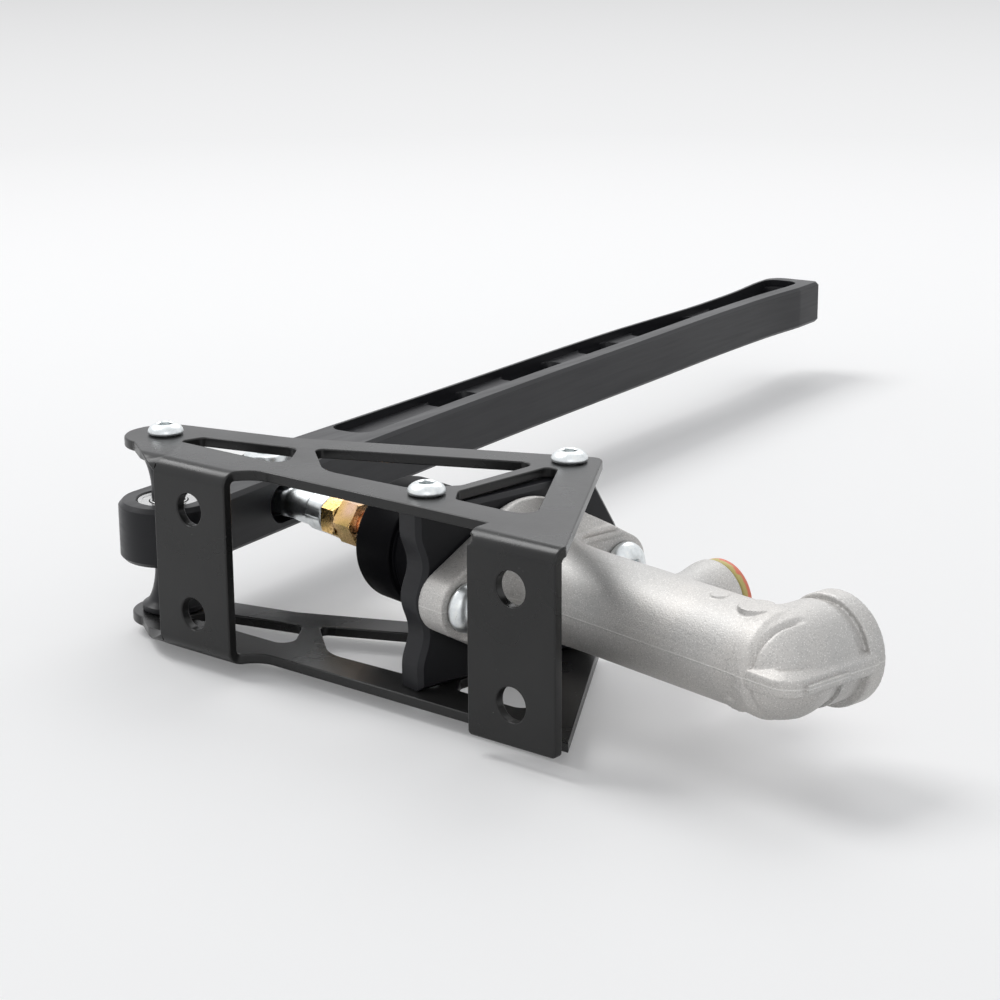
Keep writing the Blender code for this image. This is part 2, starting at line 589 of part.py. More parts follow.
def make_adapter(looks, cylinder):
    levels = ((-PLATE_FACE, PLATE_CHAMFER), (-PLATE_FACE + PLATE_CHAMFER, 0.0), (PLATE_FACE - PLATE_CHAMFER, 0.0),
              (PLATE_FACE, PLATE_CHAMFER))
    shape = bmesh.new()
    loops = [[shape.verts.new((x, y, z)) for y, z in adapter_outline(inset)] for x, inset in levels]
    shape.faces.new(loops[0][::-1])
    shape.faces.new(loops[-1])
    for lower, upper in zip(loops, loops[1:]):
        for i in range(len(lower)):
            j = (i + 1) % len(lower)
            shape.faces.new((lower[i], lower[j], upper[j], upper[i]))
    adapter = add("adapter_plate", shape, looks["anodised_black"], cylinder)
    through = (-PLATE_T, PLATE_T)
    cut(adapter, add("adapter_spigot_hole", rod(*through, SNOUT_D / 2 + GAP, "X"), parent=cylinder))
    for side in (-1, 1):
        hole = rod(*through, M8_D / 2 + GAP, "X", ROUND_SMALL, (side * MC_BOLT_PITCH / 2, 0.0))
        cut(adapter, add(f"adapter_bolt_hole_{side}", hole, parent=cylinder))
        for label, y in (("near", MC_AXIS), ("far", MC_AXIS + SCREW_SPAN)):
            depth = PLATE_SCREW_L - SHEET + 1.5
            ends = sorted((side * (INSIDE - depth), side * (INSIDE + 2)))
            tapped = rod(*ends, M6_D / 2 + GAP, "Z", ROUND_SMALL, (0.0, y))
            cut(adapter, add(f"adapter_tapped_hole_{label}_{side}", tapped, parent=cylinder))
    return adapter


def flange_outline(ear_r, waist_r):
    """The casting's two-bolt flange, as (y, z): round ears joined to a round waist by tangents."""
    reach = MC_BOLT_PITCH / 2
    slope = degrees(np.arcsin((waist_r - ear_r) / reach))
    right = arc((reach, 0.0), ear_r, -90 + slope, 90 - slope, 10)
    upper = arc((0.0, 0.0), waist_r, 90 - slope, 90 + slope, 6)
    return right + upper + [(-y, -z) for y, z in right] + [(y, -z) for y, z in upper[::-1]]


def make_casting(looks, cylinder):
    """The cylinder's body, turned, with its flange, elbow, port ring, outlet boss and ribs joined on."""
    body_r, root_r = MC_BODY_D / 2, SNOUT_D / 2 + MC_ROOT_STEP
    start = PLATE_FACE + GAP
    body = [(SNOUT_END, 0.0), (SNOUT_END, SNOUT_D / 2 - 0.8), (SNOUT_END + 0.8, SNOUT_D / 2), (start + 1, SNOUT_D / 2),
            (start + 1, root_r), (FLANGE_FACE, root_r), (FLANGE_FACE + 4, root_r - 0.9),
            (FLANGE_FACE + 12, body_r + 0.5), (FLANGE_FACE + 22, body_r), (ELBOW_AT, body_r), (ELBOW_AT, 0.0)]
    half_facet = pi / ROUND
    casting = add("master_cylinder", turned(body, "X", phase=half_facet), looks["cast_aluminium"], cylinder)

    flange = add("cylinder_flange", prism(flange_outline(MC_EAR_R, MC_WAIST_R), start, FLANGE_FACE, "X"),
                 parent=cylinder)
    neck_r, ring_r = ELBOW_D / 2, PORT_RING_D / 2
    slim_r = neck_r - ELBOW_UNDERCUT
    ring_from = ELBOW_TO + PORT_GROOVE_W
    ring_to = ring_from + PORT_RING_W
    knuckle = [(-neck_r * sin(t), neck_r * cos(t)) for t in np.radians((75, 60, 45, 30, 15))]
    neck = [(-neck_r, 0.0), *knuckle, (0.0, neck_r), (ELBOW_TO / 2, slim_r), (ring_from, slim_r),
            (ring_from + 0.4, ring_r - 0.4), (ring_from + 0.9, ring_r), (ring_to - 0.8, ring_r),
            (ring_to, ring_r - 0.8), (ring_to, 0.0)]
    elbow = add("cylinder_elbow", turned(neck, "Y", ROUND, (0.0, ELBOW_AT), half_facet), parent=cylinder)
    below = degrees(np.arcsin((RIB_W / 2 + GAP) / neck_r))
    saddle = arc((0.0, ELBOW_AT), neck_r, -90 - below, 90 + below, ROUND // 2)
    upper_neck = add("cylinder_upper_neck", prism(saddle, 1.0, ELBOW_TO, "Y"), parent=cylinder)
    boss_r = BOSS_D / 2
    boss = [(1.0, 0.0), (1.0, boss_r + 1.0), (body_r + 1.1, boss_r + 0.5), (BOSS_OUT - 1.0, boss_r - 0.2),
            (BOSS_OUT, boss_r - 1.2), (BOSS_OUT, 0.0)]
    outlet = add("cylinder_outlet_boss", turned(boss, "Y", ROUND - 3, (0.0, BOSS_AT), half_facet), parent=cylinder)

    outer = neck_r + RIB_H
    turn_r = outer - 3.0
    rib = [(RIB_FROM, -body_r - 0.3), (RIB_FROM + 8, -outer)]
    rib += arc((ELBOW_AT + outer - turn_r, -outer + turn_r), turn_r, -90, 0, 6)
    rib += [(ELBOW_AT + outer, ELBOW_TO - 1.0), (ELBOW_AT + 5, ELBOW_TO - 1.0), (ELBOW_AT + 5, 4 - body_r),
            (RIB_FROM, 4 - body_r)]
    fin = add("cylinder_rib", prism(rib, -RIB_W / 2, RIB_W / 2), parent=cylinder)
    join(casting, flange, elbow, upper_neck, outlet, fin)

    bore = add("cylinder_bore", rod(SNOUT_END - 1, BORE_END, MC_BORE / 2, "X"), parent=cylinder)
    port = add("cylinder_port_bore", rod(0.0, ring_to + 1, PORT_BORE / 2, "Y", ROUND - 6, (0.0, ELBOW_AT)),
               parent=cylinder)
    drilled = add("cylinder_outlet_bore", rod(0.0, BOSS_OUT + 1, OUTLET_BORE / 2, "Y", ROUND_SMALL, (0.0, BOSS_AT)),
                  parent=cylinder)
    cut(casting, bore, drilled, port)
    for side in (-1, 1):
        hole = rod(0.0, FLANGE_FACE + 5, M8_D / 2 + GAP, "X", ROUND_SMALL, (side * MC_BOLT_PITCH / 2, 0.0))
        cut(casting, add(f"cylinder_bolt_hole_{side}", hole, parent=cylinder))
    return casting


def make_cylinder_fittings(looks, cylinder):
    """Flange bolts, outlet cap, the clip and stop washer in the mouth, and the boot over the spigot."""
    for label, side in (("near", -1), ("far", 1)):
        at = (side * MC_BOLT_PITCH / 2, 0.0, FLANGE_FACE)
        button_screw(f"flange_bolt_{label}", at, -1, M8_D, M8_HEAD_D, M8_HEAD_H, M8_SOCKET,
                     MC_FLANGE_T + PLATE_T, looks["zinc"], cylinder, "X")
    cap_r, stem_r = CAP_D / 2, CAP_STEM_D / 2
    base = BOSS_OUT + GAP
    cap = [(base - CAP_STEM_L, 0.0), (base - CAP_STEM_L, stem_r), (base, stem_r), (base, cap_r),
           (base + CAP_T - 0.6, cap_r), (base + CAP_T, cap_r - 0.8), (base + CAP_T, 0.0)]
    add("outlet_cap", turned(cap, "Y", ROUND - 4, (0.0, BOSS_AT)), looks["cap_plastic"], cylinder)
    bore_r = MC_BORE / 2 - GAP
    clip_at = SNOUT_END + CLIP_IN
    clip = [(clip_at, CLIP_HOLE / 2), (clip_at, bore_r), (clip_at + CLIP_T, bore_r), (clip_at + CLIP_T, CLIP_HOLE / 2)]
    add("retaining_clip", turned(clip, "X"), looks["bearing_steel"], cylinder)
    stop_at = clip_at + CLIP_T + GAP
    stop = [(stop_at, STOP_HOLE / 2), (stop_at, bore_r), (stop_at + STOP_T, bore_r), (stop_at + STOP_T, STOP_HOLE / 2)]
    add("stop_washer", turned(stop, "X"), looks["zinc"], cylinder)

    rear = -PLATE_FACE - GAP
    front = rear - BOOT_LENGTH
    step = front + BOOT_FRONT_L
    grip_r = SNOUT_D / 2 + GAP
    rear_r = grip_r + BOOT_GRIP
    outer_r = rear_r + BOOT_STEP
    grip = SNOUT_END + 1.5
    boot = [(front, BOOT_HOLE / 2), (front, outer_r - BOOT_EDGE), (front + BOOT_EDGE * 0.3, outer_r - BOOT_EDGE * 0.3),
            (front + BOOT_EDGE, outer_r), (step - 1.2, outer_r), (step, rear_r), (rear, rear_r), (rear, grip_r),
            (grip, grip_r),
            (grip, rear_r - BOOT_WALL), (step, rear_r - BOOT_WALL), (step - 1.2, outer_r - BOOT_WALL),
            (front + BOOT_WALL, outer_r - BOOT_WALL), (front + BOOT_WALL, BOOT_HOLE / 2)]
    add("boot", turned(boot, "X", ROUND + 4), looks["rubber"], cylinder)
    return stop_at + STOP_T + GAP


def make_piston(looks, cylinder, piston_from):
    """The piston with its pushrod socket, two cup seals in grooves, and the return spring ahead of it."""
    radius = MC_BORE / 2 - GAP
    seat_r = SEAL_SEAT_D / 2
    back = piston_from
    front = back + PISTON_L
    grooves = (back + 13.0, front - 6.5)
    profile = [(back, PISTON_SOCKET_D / 2), (back, radius)]
    for at in grooves:
        profile += [(at, radius), (at, seat_r), (at + SEAL_W + 2 * GAP, seat_r), (at + SEAL_W + 2 * GAP, radius)]
    profile += [(front, radius), (front, 0.0), (back + PISTON_SOCKET_L + 1.5, 0.0),
                (back + PISTON_SOCKET_L, PISTON_SOCKET_D / 2 - 1.5), (back + PISTON_SOCKET_L - 1.5, PISTON_SOCKET_D / 2)]
    add("piston", turned(profile, "X"), looks["machined_aluminium"], cylinder)
    for label, at in zip(("rear", "front"), grooves):
        low, high = at + GAP, at + GAP + SEAL_W
        seal = [(low, seat_r + GAP), (low, SEAL_D / 2 - 0.9), (high, SEAL_D / 2), (high, SEAL_D / 2 - 1.2),
                (high - 1.2, seat_r + 1.2), (high - 1.2, seat_r + GAP)]
        add(f"cup_seal_{label}", turned(seal, "X"), looks["rubber"], cylinder)
    coil = bpy.data.curves.new("return_spring", "CURVE")
    coil.dimensions = "3D"
    coil.bevel_depth = SPRING_WIRE / 2 * MM
    coil.bevel_resolution = 1
    coil.use_fill_caps = True
    line = coil.splines.new("POLY")
    per_turn = 10
    count = SPRING_TURNS * per_turn + 1
    line.points.add(count - 1)
    first = front + GAP + SPRING_WIRE / 2
    last = BORE_END - GAP - SPRING_WIRE / 2
    for k in range(count):
        t = 2 * pi * k / per_turn
        spot = Vector((first + (last - first) * k / (count - 1), SPRING_D / 2 * cos(t), SPRING_D / 2 * sin(t)))
        line.points[k].co = (*(spot * MM), 1.0)
    spring = bpy.data.objects.new("return_spring", coil)
    coil.materials.append(looks["bearing_steel"])
    bpy.context.scene.collection.objects.link(spring)
    spring.parent = cylinder


def make_rod(looks, pivot, piston_from):
    """The rod end on its ball and bolt in the lever's slot, the jam nut and the pushrod."""
    lean = radians(LEVER_LEAN)
    pin = Vector((PIVOT[0] - PIN_ARM * sin(lean), PIVOT[1] + PIN_ARM * cos(lean)))
    axis_x = Vector((ACROSS.y, -ACROSS.x))
    nose = Vector(MC_AT) + axis_x * (piston_from + PISTON_SOCKET_L - NOSE_D / 2 - GAP)
    run = nose - pin
    pusher = empty("rod_axis", pin, atan2(run.y, run.x))
    length = run.length

    eye_r, eye_h = ROD_EYE_D / 2, ROD_EYE_T / 2
    eye = [(-eye_h, 0.0), (-eye_h, eye_r - 0.8), (-eye_h + 0.8, eye_r), (eye_h - 0.8, eye_r), (eye_h, eye_r - 0.8),
           (eye_h, 0.0)]
    rod_end = add("rod_end", turned(eye), looks["zinc"], pusher)
    shank_r = SHANK_D / 2
    shank = [(4.0, 0.0), (4.0, eye_h), (eye_r, eye_h), (SHANK_L - SHANK_STRAIGHT - 4, shank_r - 0.5),
             (SHANK_L - SHANK_STRAIGHT, shank_r), (SHANK_L - 0.6, shank_r), (SHANK_L, shank_r - 0.6), (SHANK_L, 0.0)]
    web = [(0.0, -eye_r * 0.72), (eye_r * 0.9, -shank_r + 0.4), (eye_r * 0.9 + 5, -shank_r + 1.2),
           (eye_r * 0.9 + 5, shank_r - 1.2), (eye_r * 0.9, shank_r - 0.4), (0.0, eye_r * 0.72)]
    join(rod_end, add("rod_end_shank", turned(shank, "X"), parent=pusher),
         add("rod_end_web", prism(web, -eye_h + 0.2, eye_h - 0.2), parent=pusher))
    ball_r, ball_h = ROD_BALL_D / 2, ROD_BALL_W / 2
    hollow_r = ball_r + GAP
    hollow = [(hollow_r * sin(t), hollow_r * cos(t)) for t in np.radians(np.arange(-60, 61, 24))]
    hollow = [(-hollow_r, 0.0), *hollow, (hollow_r, 0.0)]
    thread = rod(SHANK_L - THREAD_IN - 1.5, SHANK_L + 1, ROD_D / 2 + GAP, "X", ROUND_SMALL)
    cut(rod_end, add("rod_end_race", turned(hollow), parent=pusher), add("rod_end_thread", thread, parent=pusher))

    limit = acos(min(1.0, (ROD_BOLT_D / 2 + GAP) / ball_r))
    flat = min(limit, np.arcsin(ball_h / ball_r))
    skin = [(ball_r * sin(t), ball_r * cos(t)) for t in np.linspace(-flat, flat, 7)]
    ball = [(-ball_r * sin(flat), ROD_BOLT_D / 2 + GAP), *skin, (ball_r * sin(flat), ROD_BOLT_D / 2 + GAP)]
    add("rod_end_ball", turned(ball, centre=(0.0, PIN_ARM)), looks["bearing_steel"], pivot)
    seat = HUB_TOP + GAP
    head_r, bolt_r = ROD_BOLT_HEAD_D / 2, ROD_BOLT_D / 2
    end = -HUB_TOP - ROD_NUT_H - GAP - 1.0
    bolt = [(end, 0.0), (end, bolt_r - 0.7), (end + 0.7, bolt_r), (seat, bolt_r), (seat, head_r),
            (seat + ROD_BOLT_HEAD_H - 0.8, head_r), (seat + ROD_BOLT_HEAD_H, head_r - 0.8),
            (seat + ROD_BOLT_HEAD_H, 0.0)]
    rod_bolt = add("rod_bolt", turned(bolt, facets=ROUND_SMALL, centre=(0.0, PIN_ARM)), looks["zinc"], pivot)
    recess = [(x, y + PIN_ARM) for x, y in hexagon(M8_SOCKET)]
    cut(rod_bolt, add("rod_bolt_socket", prism(recess, seat + 1.2, seat + ROD_BOLT_HEAD_H + 1), parent=pivot))
    hexa = [(x, y + PIN_ARM) for x, y in hexagon(ROD_NUT_AF)]
    nut = add("rod_nut", prism(hexa, -HUB_TOP - GAP - ROD_NUT_H, -HUB_TOP - GAP), looks["zinc"], pivot)
    thread = rod(-HUB_TOP - ROD_NUT_H - 3, -HUB_TOP + 1, bolt_r + GAP, "Z", ROUND_SMALL, (0.0, PIN_ARM))
    cut(nut, add("rod_nut_thread", thread, parent=pivot))

    jam_at = SHANK_L + GAP
    jam = add("jam_nut", prism(hexagon(JAM_AF), jam_at, jam_at + JAM_T, "X"), looks["yellow_zinc"], pusher)
    wide = JAM_AF / 2 / cos(pi / 6)
    barrel = [(jam_at, 0.0), (jam_at, wide - 0.9), (jam_at + 0.6, wide), (jam_at + JAM_T - 0.6, wide),
              (jam_at + JAM_T, wide - 0.9), (jam_at + JAM_T, 0.0)]
    combine(jam, add("jam_nut_chamfer", turned(barrel, "X"), parent=pusher), "INTERSECT")
    thread = rod(jam_at - 1, jam_at + JAM_T + 1, ROD_D / 2 + GAP, "X", ROUND_SMALL)
    cut(jam, add("jam_nut_thread", thread, parent=pusher))

    rod_r, nose_r = ROD_D / 2, NOSE_D / 2
    ball_at = length
    dome = [(ball_at + nose_r * sin(t), nose_r * cos(t)) for t in np.radians((-45, -20, 0, 25, 50, 72))]
    stem = [(SHANK_L - THREAD_IN, 0.0), (SHANK_L - THREAD_IN, rod_r - 0.6), (SHANK_L - THREAD_IN + 0.6, rod_r),
            (ball_at - nose_r * 0.9, rod_r), *dome, (ball_at + nose_r, 0.0)]
    push = add("pushrod", turned(stem, "X", ROUND - 8), looks["yellow_zinc"], pusher)
    collar_at = jam_at + JAM_T + GAP
    collar = prism(hexagon(COLLAR_AF), collar_at, collar_at + COLLAR_L, "X")
    join(push, add("pushrod_collar", collar, parent=pusher))


def build():
    clear_scene()
    looks = make_materials()
    pivot = empty("lever_pivot", PIVOT, radians(LEVER_LEAN))
    cylinder = empty("cylinder_axis", MC_AT, MC_TURN)
    make_bracket(looks)
    make_lever(looks, pivot)
    make_bearings(looks, pivot)
    make_pivot(looks)
    make_plate_screws(looks)
    make_adapter(looks, cylinder)
    make_casting(looks, cylinder)
    piston_from = make_cylinder_fittings(looks, cylinder)
    make_piston(looks, cylinder, piston_from)
    make_rod(looks, pivot, piston_from)
    bpy.context.view_layer.update()


build()
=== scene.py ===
"""Hydraulic hand brake, lying on its side on a pale studio floor.

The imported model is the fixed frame. Each section below makes one piece, or a group of like pieces, in
the order in which the brake is put together. Sizes are millimetres until a mesh is made.
"""
from itertools import product
from math import atan2, cos, pi, radians, sin, sqrt

import bmesh
import bpy
import numpy as np
from mathutils import Matrix, Vector
from mathutils.geometry import delaunay_2d_cdt


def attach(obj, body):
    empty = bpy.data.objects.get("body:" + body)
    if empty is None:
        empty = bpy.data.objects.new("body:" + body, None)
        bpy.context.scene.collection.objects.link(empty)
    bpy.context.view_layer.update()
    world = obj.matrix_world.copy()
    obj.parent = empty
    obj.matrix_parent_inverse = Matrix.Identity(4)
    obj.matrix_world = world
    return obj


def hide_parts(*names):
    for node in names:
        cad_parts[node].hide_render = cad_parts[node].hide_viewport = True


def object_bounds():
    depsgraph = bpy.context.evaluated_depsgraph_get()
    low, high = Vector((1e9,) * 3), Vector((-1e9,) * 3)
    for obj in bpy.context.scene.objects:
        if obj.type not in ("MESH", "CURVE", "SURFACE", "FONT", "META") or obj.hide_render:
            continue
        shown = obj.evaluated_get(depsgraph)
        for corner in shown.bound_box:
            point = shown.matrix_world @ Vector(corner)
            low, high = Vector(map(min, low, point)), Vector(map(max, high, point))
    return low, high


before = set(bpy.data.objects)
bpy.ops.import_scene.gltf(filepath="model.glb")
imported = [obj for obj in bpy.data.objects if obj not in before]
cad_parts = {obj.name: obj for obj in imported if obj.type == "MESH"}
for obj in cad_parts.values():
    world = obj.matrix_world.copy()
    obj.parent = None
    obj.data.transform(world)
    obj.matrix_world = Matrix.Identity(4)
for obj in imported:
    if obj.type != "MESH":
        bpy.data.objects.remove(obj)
cad_low, cad_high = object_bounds()

# ---- Floor, light and camera -----------------------------
# A seamless pale floor under the lower screw heads, a wide soft lamp high on the left, weaker ones at the
# back and the front, and a camera on the flange side, a little above.

FLOOR_COLOUR = (0.93, 0.93, 0.93)
FLOOR_HALF = 9.0
BRAKE_AT = (0.05, 0.1, 0.0)
scene = bpy.context.scene


def node(tree, kind, feeds, **settings):
    """Adds a shader node; feeds are its inputs by name or number, as values or as the sockets that drive them."""
    made = tree.nodes.new("ShaderNode" + kind)
    for key, value in settings.items():
        setattr(made, key, value)
    for key, value in feeds.items():
        if isinstance(value, bpy.types.NodeSocket):
            tree.links.new(value, made.inputs[key])
        else:
            made.inputs[key].default_value = value
    return made


world = bpy.data.worlds.new("studio")
world.use_nodes = True
sky = world.node_tree
sky.nodes.clear()
paths = node(sky, "LightPath", {})
seen = paths.outputs["Is Camera Ray"]
for ray in ("Is Glossy Ray", "Is Transmission Ray"):
    seen = node(sky, "Math", {0: seen, 1: paths.outputs[ray]}, operation="MAXIMUM").outputs[0]
room = node(sky, "Background", {"Color": (0.97, 0.98, 1.0, 1.0), "Strength": 0.46})
backdrop = node(sky, "Background", {"Color": (0.98, 0.985, 1.0, 1.0), "Strength": 1.0})
mixed = node(sky, "MixShader", {0: seen, 1: room.outputs[0], 2: backdrop.outputs[0]})
node(sky, "OutputWorld", {"Surface": mixed.outputs[0]})
scene.world = world

floor_look = bpy.data.materials.new("studio_floor")
floor_look.use_nodes = True
floor_shader = floor_look.node_tree.nodes["Principled BSDF"]
floor_shader.inputs["Base Color"].default_value = (*FLOOR_COLOUR, 1.0)
floor_shader.inputs["Roughness"].default_value = 0.55
floor_shader.inputs["Specular IOR Level"].default_value = 0.2
floor_tree = floor_look.node_tree
floor_at = node(floor_tree, "TexCoord", {}).outputs["Object"]
away = node(floor_tree, "VectorMath", {0: floor_at, 1: BRAKE_AT}, operation="DISTANCE").outputs["Value"]
share = {"Value": away, "From Min": 0.48, "From Max": 1.25, "To Min": 0.18, "To Max": 1.0}
share = node(floor_tree, "MapRange", share).outputs["Result"]
to_camera = node(floor_tree, "LightPath", {}).outputs["Is Camera Ray"]
share = node(floor_tree, "Math", {0: share, 1: to_camera}, operation="MULTIPLY").outputs[0]
fading = {"Value": away, "From Min": 0.5, "From Max": 3.2, "To Min": 0.95, "To Max": 0.74}
glow = node(floor_tree, "MapRange", fading).outputs["Result"]
paper = node(floor_tree, "Emission", {"Color": (0.99, 0.992, 1.0, 1.0), "Strength": glow})
lit = node(floor_tree, "MixShader", {0: share, 1: floor_shader.outputs[0], 2: paper.outputs[0]})
floor_tree.links.new(lit.outputs[0], floor_tree.nodes["Material Output"].inputs["Surface"])
floor_mesh = bpy.data.meshes.new("floor")
floor_z = cad_low[2] - 0.0001
floor_corners = [(x * FLOOR_HALF, y * FLOOR_HALF, floor_z) for x, y in ((-1, -1), (1, -1), (1, 1), (-1, 1))]
floor_mesh.from_pydata(floor_corners, [], [(0, 1, 2, 3)])
floor_mesh.materials.append(floor_look)
floor = bpy.data.objects.new("floor", floor_mesh)
scene.collection.objects.link(floor)


def soft_lamp(name, at, aim, size, power):
    """A square lamp at one point, turned to face another."""
    lamp = bpy.data.lights.new(name, "AREA")
    lamp.size = size
    lamp.energy = power
    holder = bpy.data.objects.new(name, lamp)
    holder.location = at
    holder.rotation_euler = (Vector(aim) - Vector(at)).to_track_quat("-Z", "Y").to_euler()
    scene.collection.objects.link(holder)


soft_lamp("high_left", (-2.1, -0.25, 2.8), BRAKE_AT, 1.6, 57.0)
soft_lamp("back", (-0.5, 1.3, 1.3), BRAKE_AT, 1.2, 7.0)
soft_lamp("front", (1.3, -1.2, 0.9), (0.05, 0.05, 0.0), 1.0, 2.4)

view = bpy.data.cameras.new("camera")
view.sensor_width = 36.0
view.lens = 84.36
view.clip_start = 0.01
camera = bpy.data.objects.new("camera", view)
pose = Matrix.Translation((0.47482, -0.43345, 0.19603))
for angle, axis in ((39.74, "Z"), (90 - 15.63, "X"), (-0.36, "Z")):
    pose = pose @ Matrix.Rotation(radians(angle), 4, axis)
camera.matrix_world = pose
scene.collection.objects.link(camera)
scene.camera = camera
scene.view_settings.view_transform = "Standard"

# ---- Bracket ---------------------------------------------
# One blank of 3 mm steel sheet, cut with its windows and holes and then folded twice: two plates 57 mm
# apart over all, a full flange by the pivot and a second one that hangs from the upper plate.
# It is sprayed with semi-gloss black powder, which leaves a fine peel and rounds every edge.

SHEET, HEIGHT, BEND = 3.0, 57.0, 4.5
FLANGE_HALF, FLANGE_PITCH, SETBACK, FRONT_R = 14.5, 117.5, 8.7, 8.5
HOLE_PITCH, MOUNT_HOLE_R, SCREW_HOLE_R = 31.0, 4.75, 3.15
LOBE_R, BACK_Y, DROP_R, BITE_R, BITE_AT = 12.2, 41.6, 1.2, 1.5, 4.9
PIVOT = np.array((-32.0, 21.5))
SCREW_NEAR = np.array((72.6, 19.6))
SCREW_FAR = np.array((81.4, 70.5))
BEND_LENGTH = BEND * pi / 2
FLAT_LENGTH = HEIGHT - 2 * BEND
BLANK = 2 * BEND_LENGTH + FLAT_LENGTH


def arc(centre, radius, start, end, steps):
    """Points on an arc: the centre plus a radius turned from the start to the end angle, in degrees."""
    t = np.radians(np.linspace(start, end, steps + 1))
    return np.stack([centre[0] + radius * np.cos(t), centre[1] + radius * np.sin(t)], -1)


def rounded(corners, steps=8):
    """A polygon (x, y, radius) whose corners become arcs that touch both sides."""
    corners = np.array(corners, float)
    here, radius = corners[:, :2], corners[:, 2]
    back = np.roll(here, 1, 0) - here
    ahead = np.roll(here, -1, 0) - here
    back /= np.linalg.norm(back, axis=1)[:, None]
    ahead /= np.linalg.norm(ahead, axis=1)[:, None]
    half = np.arccos(np.clip((back * ahead).sum(1), -1, 1)) / 2
    middle = back + ahead
    middle /= np.linalg.norm(middle, axis=1)[:, None] + 1e-12
    centre = here + middle * (radius / np.sin(half))[:, None]
    start = here + back * (radius / np.tan(half))[:, None] - centre
    end = here + ahead * (radius / np.tan(half))[:, None] - centre
    first = np.arctan2(start[:, 1], start[:, 0])
    sweep = (np.arctan2(end[:, 1], end[:, 0]) - first + pi) % (2 * pi) - pi
    t = first[:, None] + sweep[:, None] * np.linspace(0, 1, steps + 1)
    bent = centre[:, None] + radius[:, None, None] * np.stack([np.cos(t), np.sin(t)], -1)
    return np.concatenate([bent[i] if radius[i] > 0 else here[i:i + 1] for i in range(len(corners))])


def wound(loop, left=True):
    """The loop ordered so that what lies inside it is on the left of its way, or on the right for a hole."""
    x, y = loop[:, 0], loop[:, 1]
    area = (x * np.roll(y, -1) - y * np.roll(x, -1)).sum()
    return loop if (area > 0) == left else loop[::-1]


def inward(loop):
    """At each point of a loop, the direction to its left, long enough to move both neighbouring sides by 1."""
    way = np.roll(loop, -1, 0) - loop
    way /= np.linalg.norm(way, axis=1)[:, None] + 1e-12
    side = np.stack([-way[:, 1], way[:, 0]], -1)
    before = np.roll(side, 1, 0)
    return (side + before) / (1 + (side * before).sum(1))[:, None].clip(0.3)


def grid_faces(rows, cols, closed=True):
    """Quads between neighbouring rows of a grid of points; a closed row joins its last point to its first."""
    i, j = np.meshgrid(np.arange(rows - 1), np.arange(cols if closed else cols - 1), indexing="ij")
    k = (j + 1) % cols
    return np.stack([i * cols + j, i * cols + k, (i + 1) * cols + k, (i + 1) * cols + j], -1).reshape(-1, 4)


def netted(grid, closed=True):
    """A grid of points together with its quads."""
    return grid, grid_faces(*grid.shape[:2], closed)


def rim(loop, profile):
    """A profile of (inset, height) carried round a loop: grid of points (profile step, loop point, x y height)."""
    profile = np.array(profile, float)
    flat = loop[None] + profile[:, 0, None, None] * inward(loop)[None]
    height = np.broadcast_to(profile[:, 1, None, None], (*flat.shape[:2], 1))
    return np.concatenate([flat, height], -1)


def covers(loops, spots):
    """True where a spot lies inside an odd number of the loops: each side that a ray to the right meets counts."""
    odd = np.zeros(len(spots), bool)
    for loop in loops:
        a, b = loop, np.roll(loop, -1, 0)
        x, y = spots[:, 0, None], spots[:, 1, None]
        crosses = (a[:, 1] > y) != (b[:, 1] > y)
        rise = np.where(b[:, 1] == a[:, 1], 1e-12, b[:, 1] - a[:, 1])
        odd ^= (crosses & (x < a[:, 0] + (y - a[:, 1]) * (b[:, 0] - a[:, 0]) / rise)).sum(1) % 2 == 1
    return odd


def filled(loops, inside=()):
    """Flat triangles that fill the first loop, leave the others open and use the points inside."""
    points = np.concatenate([*loops, *inside])
    sides, start = [], 0
    for k, run in enumerate([*loops, *inside]):
        n = len(run)
        last = n if k < len(loops) else n - 1
        sides += [(start + i, start + (i + 1) % n) for i in range(last)]
        start += n
    spots, _, faces, *_ = delaunay_2d_cdt([Vector(p) for p in points.tolist()], sides, [], 0, 1e-6)
    spots, faces = np.array([tuple(p) for p in spots]), np.array(faces)
    return spots, faces[covers(loops, spots[faces].mean(1))]


def lifted(spots, height):
    """Points that all get the same last coordinate."""
    return np.column_stack([spots, np.full(len(spots), height)])


def make_piece(name, patches, look, body, replaced, crease=33.0, weighted=True):
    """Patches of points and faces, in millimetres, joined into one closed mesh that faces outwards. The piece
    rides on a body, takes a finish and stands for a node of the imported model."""
    points, faces, start = [], [], 0
    for spots, corners in patches:
        spots = np.asarray(spots).reshape(-1, 3)
        points.append(spots)
        faces += (np.asarray(corners) + start).tolist()
        start += len(spots)
    mesh = bpy.data.meshes.new(name)
    mesh.from_pydata((np.concatenate(points) * 0.001).tolist(), [], faces)
    work = bmesh.new()
    work.from_mesh(mesh)
    bmesh.ops.remove_doubles(work, verts=work.verts, dist=3e-6)
    bmesh.ops.dissolve_degenerate(work, edges=work.edges, dist=1e-7)
    bmesh.ops.recalc_face_normals(work, faces=work.faces)
    work.to_mesh(mesh)
    work.free()
    mesh.shade_smooth()
    mesh.set_sharp_from_angle(angle=radians(crease))
    mesh.materials.append(look)
    piece = bpy.data.objects.new(name, mesh)
    scene.collection.objects.link(piece)
    if weighted:
        piece.modifiers.new("even_faces", "WEIGHTED_NORMAL").keep_sharp = True
    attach(piece, body)
    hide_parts(replaced)


